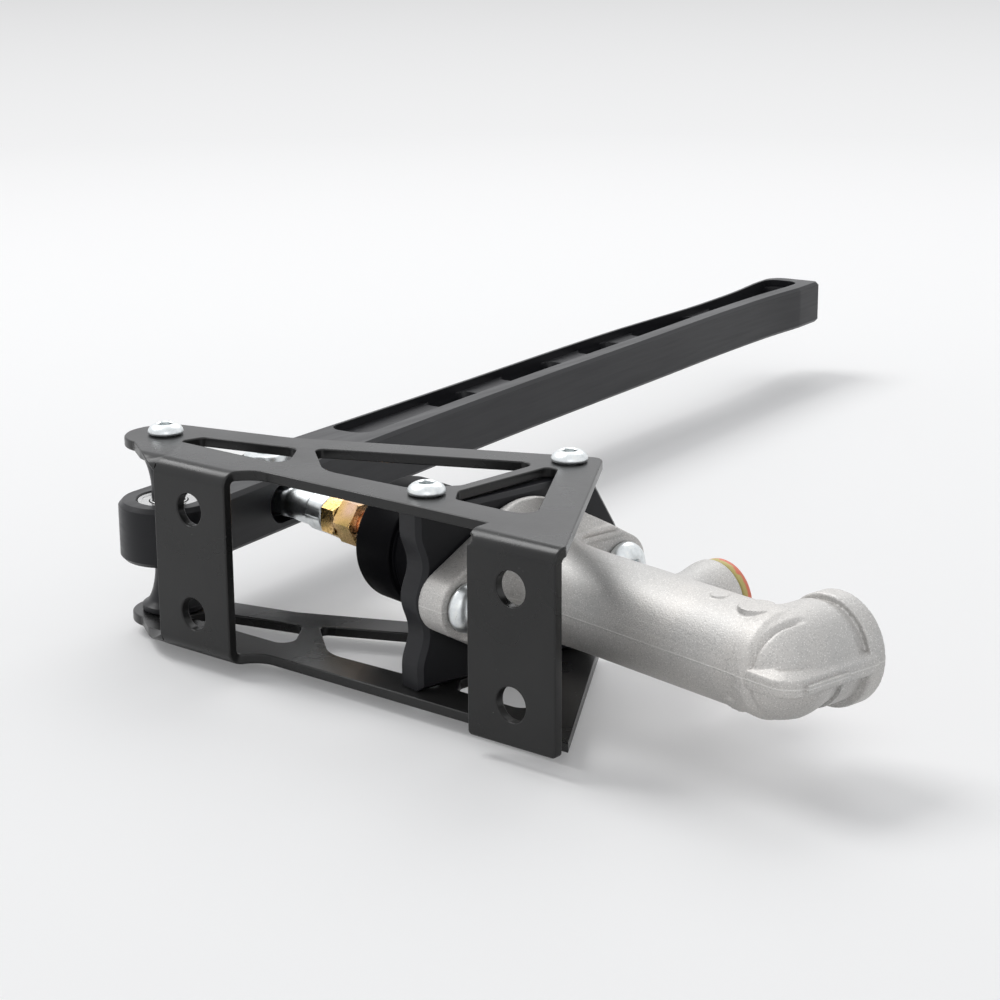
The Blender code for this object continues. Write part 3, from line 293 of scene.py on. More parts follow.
def edge_round(radius, thick, steps=3):
    """Profile of a sheet's edge: quarter circle, straight, quarter circle, as (inset, height)."""
    t = np.linspace(0, pi / 2, steps + 1)
    lower = np.stack([radius * (1 - np.sin(t)), radius * (1 - np.cos(t))], -1)
    upper = lower[::-1] * (1, -1) + (0, thick)
    return np.concatenate([lower, upper])


def across(y):
    """Distance across the folds, from the first fold, of a point of the upper plate at depth y."""
    y = np.asarray(y, float)
    return np.where(y > BEND, BEND - y, BEND * np.arcsin(np.clip((BEND - y) / BEND, 0, 1)))


def fold(flat):
    """Bends the blank: (along, across, into the sheet) becomes x, y, z.
    The plate runs level, turns a quarter circle down, runs down the flange, turns again and runs level."""
    x, s, t = flat[..., 0], flat[..., 1], flat[..., 2]
    first = np.clip(s / BEND, 0, pi / 2)
    turned_under = (x < 60) | (s > BEND_LENGTH + FLAT_LENGTH + 5)
    second = np.where(turned_under, np.clip((s - BEND_LENGTH - FLAT_LENGTH) / BEND, 0, pi / 2), 0)
    down = np.maximum(s - BEND_LENGTH, 0)
    lower = second > 0
    y = BEND + np.maximum(-s, 0) + np.where(lower, np.maximum(s - BLANK, 0), 0)
    y -= (BEND - t) * np.where(lower, np.cos(second), np.sin(first))
    side = HEIGHT / 2 - BEND
    z = np.where(lower, -side - (BEND - t) * np.sin(second), side - down + (BEND - t) * np.cos(first))
    return np.stack([x, y, z], -1)


def both_plates(edge):
    """An edge of the upper plate (x, y) laid on the blank, and its mirror image on the lower plate."""
    s = across(edge[:, 1])
    return np.stack([edge[:, 0], s], -1), np.stack([edge[:, 0], BLANK - s], -1)


far_left, far_right = FLANGE_PITCH - FLANGE_HALF, FLANGE_PITCH + FLANGE_HALF
lobe = arc(PIVOT, LOBE_R, 268, 102, 40)
corner = SCREW_FAR + (5.0, 9.4)
far_corner = rounded([(far_right, BEND, 0), (*corner, 4.0), (0.0, BACK_Y, 0)])[1:-1][::-1]
back_bend = rounded([(*lobe[-1], 0), (0.0, BACK_Y, 14.0), (*far_corner[0], 0)])[1:-1]
back_edge = np.concatenate([lobe, back_bend, far_corner])
back_upper, back_lower = both_plates(back_edge)
front_upper, front_lower = both_plates(arc((FLANGE_HALF + FRONT_R, SETBACK - FRONT_R), FRONT_R, 90, 180, 20))
drop_end = BEND_LENGTH + FLAT_LENGTH + 2.9
far_flange = rounded([(far_right, 0.0, 0), (far_right, drop_end, DROP_R), (far_left, drop_end, DROP_R),
                      (far_left, 8.0, 0)])
bite = arc((0, 0), BITE_R, 90, -90, 12)
slant_x = far_right - (SETBACK - BEND) * (far_right - corner[0]) / (corner[1] - BEND)
outer = np.concatenate([
    back_upper, far_flange, bite + (far_left, BITE_AT), [(far_left, -(SETBACK - BEND))], front_upper,
    front_lower[::-1], [(slant_x, BLANK + SETBACK - BEND)], back_lower[::-1],
    bite[::-1] + (-FLANGE_HALF, BLANK - BITE_AT), bite[::-1] + (-FLANGE_HALF, BITE_AT)])
bends = np.concatenate([np.linspace(0, BEND_LENGTH, 10), BLANK - np.linspace(0, BEND_LENGTH, 10)])


def cut_at(loop, levels):
    """The loop with one more point wherever it crosses one of the levels of its second coordinate."""
    a, b = loop, np.roll(loop, -1, 0)
    extra = []
    for level in levels:
        hit = np.nonzero((a[:, 1] - level) * (b[:, 1] - level) < -1e-6)[0]
        extra.append(hit + (level - a[hit, 1]) / (b[hit, 1] - a[hit, 1]))
    place = np.unique(np.concatenate([np.arange(len(loop)), *extra]))
    closed = np.vstack([loop, loop[:1]])
    return np.stack([np.interp(place, np.arange(len(closed)), closed[:, k]) for k in (0, 1)], -1)


slot_window = [(9.4, -3.3, 1.4), (53.2, -3.3, 3.6), (42.6, 12.1, 4.2), (11.6, 4.1, 2.6)]
middle_window = [(-58.0, 16.8, 2.0), (-39.0, 0.8, 14.0), (-8.8, 1.8, 3.0), (1.3, 12.6, 3.0), (3.4, 44.4, 3.4)]
corner_window = [(9.4, 1.0, 3.0), (36.6, 0.8, 4.2), (11.0, 42.8, 2.6), (7.6, 41.4, 2.0), (4.8, 7.4, 3.0)]
openings = [rounded(slot_window) + PIVOT, rounded(middle_window) + SCREW_NEAR, rounded(corner_window) + SCREW_NEAR]
openings += [arc(spot, SCREW_HOLE_R, 0, 352.5, 47) for spot in (PIVOT, SCREW_NEAR, SCREW_FAR)]
holes = [hole for opening in openings for hole in both_plates(opening)]
for flange_x, side in product((0.0, FLANGE_PITCH), (-1, 1)):
    holes.append(arc((flange_x, BLANK / 2 + side * HOLE_PITCH / 2), MOUNT_HOLE_R, 0, 352.5, 47))
loops = [wound(cut_at(outer, bends))] + [wound(hole, left=False) for hole in holes]
strips = [rim(loop, edge_round(0.5, SHEET)) for loop in loops]
patches = [netted(fold(strip)) for strip in strips]
rows = []
for level in bends:
    rows.append(lifted(np.linspace(-13.4, 13.4, 19), level))
    if level < BLANK / 2:
        rows.append(lifted(np.linspace(104.6, 131.0, 19), level))
spots, faces = filled([strip[0, :, :2] for strip in strips], rows)
patches += [(fold(lifted(spots, depth)), faces) for depth in (0.0, SHEET)]


def new_finish(name, colour, roughness, metallic, specular=0.5):
    """A material: itself, its shader and the object's coordinates, on which its patterns lie."""
    look = bpy.data.materials.new(name)
    look.use_nodes = True
    shader = look.node_tree.nodes["Principled BSDF"]
    shader.inputs["Base Color"].default_value = (*colour, 1.0)
    shader.inputs["Roughness"].default_value = roughness
    shader.inputs["Metallic"].default_value = metallic
    shader.inputs["Specular IOR Level"].default_value = specular
    return look, shader, node(look.node_tree, "TexCoord", {}).outputs["Object"]


def blend_colours(amount, stops):
    """A ramp that turns a value into a colour through (position, colour) stops."""
    ramp = node(amount.id_data, "ValToRGB", {"Fac": amount})
    bar = ramp.color_ramp.elements
    while len(bar) < len(stops):
        bar.new(0.5)
    for mark, (where, colour) in zip(bar, stops):
        mark.position = where
        mark.color = (*colour, 1.0)
    return ramp.outputs["Color"]


def mixed_colour(amount, first, second):
    """One colour turning into another by an amount from 0 to 1."""
    return node(amount.id_data, "Mix", {0: amount, 6: first, 7: second}, data_type="RGBA").outputs[2]


def spread(value, low, high, start=0.3, end=0.7):
    """Stretches a pattern's value from one range to another."""
    feeds = {"Value": value, "From Min": start, "From Max": end, "To Min": low, "To Max": high}
    return node(value.id_data, "MapRange", feeds).outputs["Result"]


def noise(place, scale, detail, roughness=0.5):
    """A cloudy pattern, about 0.3 to 0.7, with its scale in blots per metre and that many finer layers."""
    feeds = {"Vector": place, "Scale": scale, "Detail": detail, "Roughness": roughness}
    return node(place.id_data, "TexNoise", feeds).outputs["Fac"]


def drive(shader, colour, roughness):
    """Lets patterns set the shader's colour and roughness."""
    for name, value in (("Base Color", colour), ("Roughness", roughness)):
        shader.id_data.links.new(value, shader.inputs[name])


def relief(shader, height, strength, depth):
    """Raises the surface by a pattern, to a depth in metres."""
    bump = node(shader.id_data, "Bump", {"Height": height, "Strength": strength, "Distance": depth})
    shader.id_data.links.new(bump.outputs["Normal"], shader.inputs["Normal"])


powder, shader, place = new_finish("powder_coat_black", (0.012, 0.012, 0.012), 0.3, 0.0, 0.36)
cloudy = noise(place, 45.0, 3.0)
speck = spread(noise(place, 1500.0, 1.0), 0.0, 1.0, 0.79, 0.83)
ground = blend_colours(cloudy, [(0.3, (0.01, 0.01, 0.01)), (0.7, (0.015, 0.015, 0.0148))])
dusted = mixed_colour(speck, ground, (0.2, 0.2, 0.19, 1.0))
drive(shader, dusted, spread(cloudy, 0.24, 0.34))
relief(shader, noise(place, 1100.0, 2.0), 0.16, 0.0001)

make_piece("folded_bracket", patches, powder, "bracket", "bracket")

# ---- Lever -----------------------------------------------
# A billet arm, 426 mm from its pivot to its tip, 18 mm thick, with a round hub, a slot through its right
# side for the rod end, and on both faces a 3 mm recess with ribbed pockets. It is milled, its long edges
# are chamfered, and it is anodised black with a trace of blue.

REACH, HUB_R, LEVER_HALF, ARM_EDGE = 426.0, 15.0, 9.0, 1.4
WALL_RIGHT, WALL_LEFT, WALL_HALF = 7.0, 2.4, 7.5
TIP_FROM, TIP_RIGHT, TIP_LEFT = 407.0, 11.0, 13.4
PIN_ARM, SLOT_HALF, SLOT_CORNER, SLOT_LIP, SLOT_DEPTH_AT = 46.5, 6.0, 5.9, 0.5, -12.1
RECESS_Z, POCKET_Z, POCKET_CORNER, POCKET_FALL = 6.0, 1.5, 5.0, 0.8
SEAT_MOUTH_R, SEAT_R, SEAT_FLOOR, SHOULDER_R = 9.9, 9.6, 2.3, 7.5
LEAN = radians(6.7)
widths = np.array([(0, 15, 15), (47, 13, 14.7), (100, 10.8, 14.3), (155, 9.3, 14.1), (285, 8.6, 13.8),
                   (354, 8.4, 10.8), (385, 9.3, 11.5), (407, 11, 13.4)], float)
POCKETS = ((149, 174), (197, 233), (252, 276), (292, 339), (353, 418))


def arm_width(y, side):
    """Half width of the arm at a distance from the pivot: a smooth cubic through the named widths."""
    along, half = widths[:, 0], widths[:, side]
    slope = np.gradient(half, along)
    y = np.minimum(y, along[-1])
    i = np.clip(np.searchsorted(along, y, side="right") - 1, 0, len(along) - 2)
    span = along[i + 1] - along[i]
    t = (y - along[i]) / span
    return ((1 + 2 * t) * (1 - t) ** 2 * half[i] + t * (1 - t) ** 2 * span * slope[i]
            + t * t * (3 - 2 * t) * half[i + 1] + t * t * (t - 1) * span * slope[i + 1])


def placed(patch, at, angle):
    """A patch drawn in its piece's own frame, turned about Z and moved to its place."""
    points, faces = patch
    x, y, z = np.moveaxis(np.asarray(points, float), -1, 0)
    x, y = at[0] + x * cos(angle) - y * sin(angle), at[1] + x * sin(angle) + y * cos(angle)
    return np.stack([x, y, z], -1), faces


rise = np.arange(2.5, 406, 2.5)
right_side = np.stack([arm_width(rise, 1), rise], -1)
left_side = np.stack([-arm_width(rise, 2), rise], -1)
tip = rounded([(TIP_RIGHT, TIP_FROM, 0), (TIP_RIGHT, REACH, 2.8), (-TIP_LEFT, REACH, 8.5),
               (-TIP_LEFT, TIP_FROM, 0)], 12)
arm = np.concatenate([right_side, tip, left_side[::-1], arc((0, 0), HUB_R, 180, 360, 60)])
arris = np.array([(ARM_EDGE + 0.15, LEVER_HALF), (ARM_EDGE - 0.15, 8.93), (0.15, 7.75), (0.0, WALL_HALF)])
lever_patches = [netted(rim(arm, arris * (1, side))) for side in (-1, 1)]
closed_arm = np.vstack([arm, arm[:1]])
length = np.concatenate([[0], np.cumsum(np.linalg.norm(np.diff(closed_arm, axis=0), axis=1))])


def on_wall(run, z, depth=0.0):
    """A point of the arm's side wall, at a distance along its outline and a height, sunk to the left by a depth."""
    x = np.interp(run, length, closed_arm[:, 0]) - depth
    return np.stack([x, np.interp(run, length, closed_arm[:, 1]), z], -1)


slot_run = np.interp((PIN_ARM - 14.8, PIN_ARM + 14.2), right_side[:, 1], length[:len(right_side)])
slot = [(slot_run[0], -SLOT_HALF), (slot_run[1], -SLOT_HALF), (slot_run[1], SLOT_HALF), (slot_run[0], SLOT_HALF)]
slot = wound(rounded([(*spot, SLOT_CORNER) for spot in slot], 14), left=False)
band = np.concatenate([lifted(length, -WALL_HALF), lifted(length[::-1], WALL_HALF)])
spots, faces = filled([band, rim(slot, [(SLOT_LIP, 0)])[0, :, :2]])
lever_patches.append((on_wall(*spots.T), faces))
lip = rim(slot, [(SLOT_LIP, 0.0), (0.15, 0.15), (0.0, SLOT_LIP), (0.0, 2.0)])
lip = on_wall(lip[..., 0], lip[..., 1], lip[..., 2])
floor_ring = lip[-1:].copy()
floor_ring[..., 0] = SLOT_DEPTH_AT
lever_patches.append(netted(np.concatenate([lip, floor_ring])))
spots, faces = filled([floor_ring[0, :, 1:]])
lever_patches.append((np.column_stack([np.full(len(spots), SLOT_DEPTH_AT), spots]), faces))

hollow_from, hollow_to, hollow_corner = 94.0, REACH - 7.0, 5.5
fine = [np.arange(a - 1.5, a + 7, 0.45) for a, b in POCKETS] + [np.arange(b - 7, b + 1.5, 0.45) for a, b in POCKETS]
end_steps = hollow_corner * (1 - np.cos(np.linspace(0, pi / 2, 14)))
ends = [hollow_from + end_steps, hollow_to - end_steps]
v = np.unique(np.round(np.concatenate([*fine, *ends, np.arange(hollow_from, hollow_to, 5.0)]), 3))
v = v[(v >= hollow_from) & (v <= hollow_to)]
v = v[np.concatenate([[True], np.diff(v) > 0.05])]
near_end = np.minimum(v - hollow_from, hollow_to - v).clip(0, hollow_corner)
pull_in = hollow_corner - np.sqrt((hollow_corner ** 2 - (hollow_corner - near_end) ** 2).clip(0))
wide_low = (-arm_width(v, 2) + WALL_LEFT)[:, None]
wide_high = (arm_width(v, 1) - WALL_RIGHT)[:, None]
low_x, high_x = wide_low + pull_in[:, None], wide_high - pull_in[:, None]
share = np.array([0, 0.02, 0.045, 0.08, 0.14, 0.24, 0.37, 0.5])
share = np.concatenate([share, 1 - share[-2::-1]])
hollow_x = low_x + (high_x - low_x) * share
hollow_y = np.broadcast_to(v[:, None], hollow_x.shape)
floor_z = np.full(hollow_x.shape, RECESS_Z)
for start, end in POCKETS:
    deep = POCKET_CORNER - np.stack([np.minimum(hollow_x - wide_low, wide_high - hollow_x),
                                     np.minimum(hollow_y - start, end - hollow_y)])
    away = np.linalg.norm(deep.clip(0), axis=0) - POCKET_CORNER + np.minimum(deep.max(0), 0)
    t = (-away / POCKET_FALL).clip(0, 1)
    floor_z = np.minimum(floor_z, RECESS_Z - (RECESS_Z - POCKET_Z) * t * t * (3 - 2 * t))
hollow = np.stack([hollow_x, hollow_y, floor_z], -1)
border = np.concatenate([hollow[:-1, -1], hollow[-1, :0:-1], hollow[:0:-1, 0], hollow[0, :-1]])
mouth_ring = rim(border[::-1, :2], [(0.3, LEVER_HALF), (0.08, 8.92), (0.0, 8.7)])
mouth_ring = np.concatenate([mouth_ring, border[None, ::-1]])
seat = arc((0, 0), SEAT_MOUTH_R, 0, 354, 59)[::-1]
spots, faces = filled([rim(arm, [(ARM_EDGE + 0.15, 0)])[0, :, :2], mouth_ring[0, :, :2], seat])
for side in (-1, 1):
    flip = np.array((1, 1, side))
    lever_patches += [netted(hollow * flip, closed=False), netted(mouth_ring * flip),
                      (lifted(spots, LEVER_HALF * side), faces)]


def lathe(outline, steps=64, axis="Z", centre=(0.0, 0.0)):
    """An outline of (place along the axis, radius) carried round the axis: grid of points (outline, angle)."""
    outline = np.array(outline, float)
    t = np.linspace(0, 2 * pi, steps, endpoint=False)
    a = centre[0] + outline[:, 1, None] * np.cos(t)
    b = centre[1] + outline[:, 1, None] * np.sin(t)
    along = outline[:, 0, None] + 0 * t
    order = {"Z": (a, b, along), "X": (along, a, b), "Y": (b, along, a)}[axis]
    ring = int(outline[0, 1] > 0 or outline[-1, 1] > 0)
    faces = grid_faces(len(outline) + ring, steps) % (len(outline) * steps)
    return np.stack(order, -1), faces


seat_wall = [(LEVER_HALF, SEAT_MOUTH_R), (8.7, SEAT_R), (SEAT_FLOOR, SEAT_R), (SEAT_FLOOR, SHOULDER_R)]
seat_wall += [(-z, r) for z, r in seat_wall[::-1]]
t = np.radians(np.arange(0, 360, 6.0))
lever_patches.append(netted(np.array([[(r * cos(a), r * sin(a), z) for a in t] for z, r in seat_wall])))
lever_patches = [placed(patch, PIVOT, LEAN) for patch in lever_patches]

anodised, shader, place = new_finish("anodised_black", (0.011, 0.011, 0.0125), 0.36, 0.0, 0.27)
stretched = {"Vector": place, "Rotation": (0.0, 0.0, -LEAN), "Scale": (260.0, 18.0, 900.0)}
drawn = noise(node(shader.id_data, "Mapping", stretched).outputs[0], 1.0, 4.0)
patchy = noise(place, 22.0, 2.0)
tone = blend_colours(patchy, [(0.3, (0.009, 0.0092, 0.0112)), (0.7, (0.0125, 0.0128, 0.0152))])
drive(shader, tone, spread(drawn, 0.3, 0.42))
relief(shader, noise(place, 2600.0, 2.0), 0.18, 0.00004)

make_piece("lever_arm", lever_patches, anodised, "lever", "lever")

# ---- Pivot -----------------------------------------------
# Two shielded 8 x 19 x 6 mm ball bearings in the hub, a sleeve between them on a tapped axle, and a
# trumpet-shaped black spacer from each bearing to its plate.

zinc, shader, place = new_finish("bright_zinc", (0.72, 0.74, 0.74), 0.28, 1.0)
blotch = noise(place, 420.0, 4.0, 0.65)
cloud = [(0.32, (0.63, 0.66, 0.66)), (0.5, (0.74, 0.77, 0.78)), (0.68, (0.83, 0.85, 0.83))]
pits = spread(noise(place, 2100.0, 2.0), 0.0, 0.5, 0.66, 0.74)
pitted = mixed_colour(pits, blend_colours(blotch, cloud), (0.3, 0.31, 0.3, 1.0))
drive(shader, pitted, spread(blotch, 0.36, 0.27))
relief(shader, blotch, 0.1, 0.00005)

ground_steel, shader, place = new_finish("ground_steel", (0.6, 0.6, 0.6), 0.25, 1.0)
turned_marks = noise(place, 900.0, 2.0)
steel = blend_colours(turned_marks, [(0.3, (0.56, 0.56, 0.56)), (0.7, (0.65, 0.65, 0.64))])
drive(shader, steel, spread(turned_marks, 0.2, 0.28))

turned_alloy, shader, place = new_finish("turned_aluminium", (0.7, 0.7, 0.7), 0.3, 1.0)
lathe_marks = noise(place, 1300.0, 1.0)
shader.id_data.links.new(spread(lathe_marks, 0.25, 0.4), shader.inputs["Roughness"])
relief(shader, lathe_marks, 0.15, 0.00003)

outer_race = [(8.6, 8.0), (8.6, 9.15), (8.25, 9.5), (2.95, 9.5), (2.6, 9.15), (2.6, 8.0), (3.0, 7.9), (3.0, 5.95),
              (3.3, 5.95), (3.3, 8.3), (7.85, 8.3), (7.85, 5.95), (8.2, 5.95), (8.3, 7.9)]
inner_race = [(8.6, 4.4), (8.6, 5.4), (8.4, 5.6), (7.2, 5.6), (7.2, 5.25), (4.0, 5.25), (4.0, 5.6), (2.8, 5.6),
              (2.6, 5.4), (2.6, 4.4), (2.9, 4.1), (8.3, 4.1)]
TUBE_END, FLARE_END, TUBE_R, FLARE_RISE = 12.0, 23.4, 4.95, 4.1
flare = np.linspace(0, 1, 12)
flare_r = TUBE_R + FLARE_RISE * (1 - np.sqrt(1 - flare ** 2)) ** 0.9
trumpet = np.stack([TUBE_END + (FLARE_END - TUBE_END) * flare, flare_r], -1)
spacer = np.concatenate([[(8.9, 4.1), (8.9, 4.9), (9.0, 5.05)], trumpet,
                         [(23.6, 9.2), (25.0, 9.2), (25.2, 9.0), (25.2, 4.1)]])
SIDES = (("upper", 1), ("lower", -1))
turned_parts = (("bearing_{}_outer_race", outer_race, ground_steel, "lever", "bearing_steel"),
                ("bearing_{}_inner_race", inner_race, ground_steel, "bracket", "bearing_steel"),
                ("spacer_{}", spacer, anodised, "bracket", "anodised_black"))
for (label, side), (pattern, outline, look, body, finish) in product(SIDES, turned_parts):
    points, faces = lathe(outline, 72, centre=PIVOT)
    name = pattern.format(label)
    make_piece(name + "_turned", [(points * (1, 1, side), faces)], look, body, name)

# ---- Screws through the plates ---------------------------
# Six M6 button-head screws with 4 mm sockets, bright zinc: one at each end of the pivot's axle and two
# from each plate into the adapter plate's edges.


def hexagon_radius(flats, t):
    """Radius of a hexagon at an angle: half its width over the cosine of the angle from the nearest flat's middle."""
    return flats / 2 / np.cos((t + pi / 6) % (pi / 3) - pi / 6)


def socketed(rings, socket, corner_r, turn=0.0, steps=72):
    """Rings of (height, radius, share of hexagon) as a grid: each ring's radius mixes a circle with the hexagon of
    the socket's width, scaled so that its corners reach the ring's radius."""
    t = np.linspace(0, 2 * pi, steps, endpoint=False)
    z, r, share = np.array(rings).T
    sides = hexagon_radius(socket, t) * (r / corner_r)[:, None]
    radius = r[:, None] * (1 - share[:, None]) + sides * share[:, None]
    return netted(np.stack([radius * np.cos(t + turn), radius * np.sin(t + turn), z[:, None] + 0 * t], -1))


def socket_screw(head_r, head_h, socket, shank_r, shank, turn):
    """A button-head screw: rings from the shank's end, over the domed head (the radius falls as the cosine to the
    power 0.8 while the height rises as the sine), and down the hexagonal socket to its middle."""
    swell = np.radians(np.linspace(0, 62, 9))
    dome = np.stack([0.75 + (head_h - 0.75) * np.sin(swell) / sin(radians(62)), head_r * np.cos(swell) ** 0.8], -1)
    corner_r = socket / 2 / cos(pi / 6)
    top_r = max(dome[-1, 1] * 0.94, corner_r + 0.4)
    rings = [(-shank, 0, 0), (-shank, shank_r - 0.6, 0), (0.6 - shank, shank_r, 0), (0.3, shank_r, 0),
             (0.3, head_r * 0.93, 0), (0.42, head_r * 0.975, 0), *[(z, r, 0) for z, r in dome],
             (head_h + 0.02, top_r, 0), (head_h, corner_r + 0.22, 0), (head_h - 0.3, corner_r, 1),
             (head_h * 0.36, corner_r, 1), (head_h * 0.36 - 0.05, corner_r - 0.2, 0.9), (head_h * 0.2, 0, 0)]
    return socketed(rings, socket, corner_r, turn)


screws = (("pivot_screw", PIVOT, 0.3), ("plate_screw_near", SCREW_NEAR, 0.9), ("plate_screw_far", SCREW_FAR, 0.1))
for (where, spot, turn), (label, side) in product(screws, SIDES):
    points, faces = socket_screw(5.3, 3.3, 4.0, 3.0, 14.0, turn)
    points = points * (1, 1, side) + (*spot, side * HEIGHT / 2)
    make_piece(f"{where}_{label}_head", [(points, faces)], zinc, "bracket", f"{where}_{label}")

# ---- Rod end and its bolt --------------------------------
# A forged rod end, bright zinc, whose 22 mm eye swivels on a ground ball inside the lever's slot; its
# shank widens towards the nut. A low socket bolt through the slot's cheeks holds it, in a press nut that is
# nearly flush with the lever's lower face.

PIN = PIVOT + PIN_ARM * np.array((-sin(LEAN), cos(LEAN)))
CYLINDER_AT = np.array((77.677, 48.964))
CYLINDER_TURN = -radians(9.809)
NOSE_BACK = 9.95
NOSE_AT = CYLINDER_AT - NOSE_BACK * np.array((cos(CYLINDER_TURN), sin(CYLINDER_TURN)))
ROD_TURN = atan2(*(NOSE_AT - PIN)[::-1])
ROD_LENGTH = float(np.linalg.norm(NOSE_AT - PIN))


def melt(a, b, width):
    """Joins two fields of distances with a fillet: the nearer one, less a bulge where they differ by less than
    the width."""
    h = (0.5 + 0.5 * (b - a) / width).clip(0, 1)
    return b + (a - b) * h - width * h * (1 - h)


def smooth_step(x, start, end):
    """0 before the start, 1 after the end, and an even S between."""
    t = ((x - start) / (end - start)).clip(0, 1)
    return t * t * (3 - 2 * t)


def rounded_box(across_one, across_two, radius):
    """Distance to the meeting of two faces that are at the given distances, with an edge of that radius."""
    a, b = across_one + radius, across_two + radius
    return np.hypot(a.clip(0), b.clip(0)) + np.minimum(np.maximum(a, b), 0) - radius


def skin(distance, low, high, cell):
    """The surface where a field of distances is nil. Each cell of a grid that it crosses gets one point, moved along
    the field's slope onto the surface and kept in its cell; round each crossed grid edge a quad joins four cells."""
    axes = [np.arange(a, b + cell, cell, dtype=np.float32) for a, b in zip(low, high)]
    field = distance(*np.meshgrid(*axes, indexing="ij"))
    solid = field < 0
    nx, ny, nz = (n - 1 for n in solid.shape)
    inside = sum(solid[i:nx + i, j:ny + j, k:nz + k].astype(np.int8) for i, j, k in product((0, 1), repeat=3))
    crossed = (inside > 0) & (inside < 8)
    index = np.full(crossed.shape, -1)
    index[crossed] = np.arange(crossed.sum())
    corner = np.array(low) + np.argwhere(crossed) * cell
    points = corner + cell / 2
    step = cell * 0.1
    for _ in range(4):
        value = distance(*points.T)
        slope = np.stack([distance(*(points + move).T) - distance(*(points - move).T) for move in step * np.eye(3)],
                         -1) / (2 * step)
        points = points - slope * (value / (slope ** 2).sum(1).clip(0.2))[:, None]
        points = np.clip(points, corner, corner + cell)
    quads = []
    for axis in range(3):
        change = solid != np.roll(solid, -1, axis)
        trimmed = [slice(1, -1)] * 3
        trimmed[axis] = slice(0, -1)
        spot = np.argwhere(change[tuple(trimmed)]) + [int(k != axis) for k in range(3)]
        back_one, back_two = np.roll(np.eye(3, dtype=int), -axis, 0)[1:]
        ring = [spot, spot - back_one, spot - back_one - back_two, spot - back_two]
        quad = np.stack([index[tuple(c.T)] for c in ring], -1)
        outward = solid[tuple(spot.T)]
        quads.append(np.where(outward[:, None], quad, quad[:, ::-1]))
    return points, np.concatenate(quads)


def rod_end_shape(x, y, z):
    """Distance to the rod end: a disc with round edges, melted into a shank that widens and a web between them,
    less the ball's seat and the thread's hole."""
    disc = rounded_box(np.hypot(x, y) - 11.1, np.abs(z) - 4.35, 0.9)
    radius = 4.9 + 0.7 * smooth_step(x, 12, 22) + 0.75 * smooth_step(x, 27.6, 28.8)
    shank = rounded_box(np.hypot(y, z) - radius, np.abs(x - 19.1) - 17.1, 0.7)
    body = melt(disc, shank, 3.2)
    web = rounded_box(np.abs(y) - (8.6 - 0.22 * x), np.maximum(np.abs(z) - 3.9, np.abs(x - 8.0) - 7.5), 0.8)
    body = melt(body, web, 2.0)
    ball = np.sqrt(x * x + y * y + z * z) - 8.25
    thread = np.maximum(np.hypot(y, z) - 4.25, 19.5 - x)
    return np.maximum(np.maximum(body, -ball), -thread)


forging = placed(skin(rod_end_shape, (-12.0, -12.1, -7.2), (37.0, 12.1, 7.2), 0.36), PIN, ROD_TURN)
make_piece("rod_end_forging", [forging], zinc, "rod", "rod_end", crease=50.0, weighted=False)

swell = np.linspace(-0.772, 0.772, 15)
ball = np.stack([7.95 * np.sin(swell), 7.95 * np.cos(swell)], -1)
ball = lathe([(-5.54, 4.25), *ball, (5.54, 4.25)], 72, centre=PIN)
make_piece("rod_end_ball_ground", [ball], ground_steel, "lever", "rod_end_ball")

low_head = [(-9.2, 0, 0), (-9.2, 3.35, 0), (-8.6, 3.95, 0), (9.3, 3.95, 0), (9.3, 6.6, 0), (9.5, 6.8, 0),
            (12.1, 6.8, 0), (12.7, 6.5, 0), (12.9, 6.0, 0), (12.9, 3.2, 0), (12.6, 2.9, 1), (10.6, 2.9, 1),
            (10.3, 0, 0)]
make_piece("rod_bolt_head", [placed(socketed(low_head, 5.0, 2.9), PIN, 0.5)], zinc, "lever", "rod_bolt")


def hexagon_nut(flats, bore, start, end, chamfer=0.9, steps=96):
    """A nut's rings between two faces: the radius is the lesser of the hexagon's and of a cone that rises from each
    face at 30 degrees, and the last rings go down the bore."""
    t = np.linspace(0, 2 * pi, steps, endpoint=False)
    depth = np.array((0, 0.12, 0.25, 0.4, 0.6, 0.9, 1.3))
    z = np.concatenate([start + depth, end - depth[::-1]])
    nearest = np.minimum(z - start, end - z)
    cone = flats / 2 / cos(pi / 6) - chamfer + nearest * 1.7
    radius = np.minimum(hexagon_radius(flats, t), cone[:, None])
    z = np.concatenate([z, [end, end - 0.5, start + 0.5, start]])
    inside = np.array((bore + 0.5, bore, bore, bore + 0.5))[:, None] + 0 * t
    radius = np.concatenate([radius, inside])
    grid = np.stack([radius * np.cos(t), radius * np.sin(t), z[:, None] + 0 * t], -1)
    return grid, grid_faces(len(z) + 1, steps) % (len(z) * steps)


press_nut = [(-9.25, 4.4), (-9.25, 6.0), (-8.9, 6.3), (-6.3, 6.3), (-6.3, 4.2), (-9.0, 4.2)]
make_piece("rod_nut_pressed", [lathe(press_nut, 72, centre=PIN)], zinc, "lever", "rod_nut")

# ---- Pushrod and jam nut ---------------------------------
# A turned rod, screwed into the rod end, with a hexagon for the spanner and a round nose in the piston.
# The jam nut locks it. Both are yellow zinc, which shimmers from gold to pink and olive.

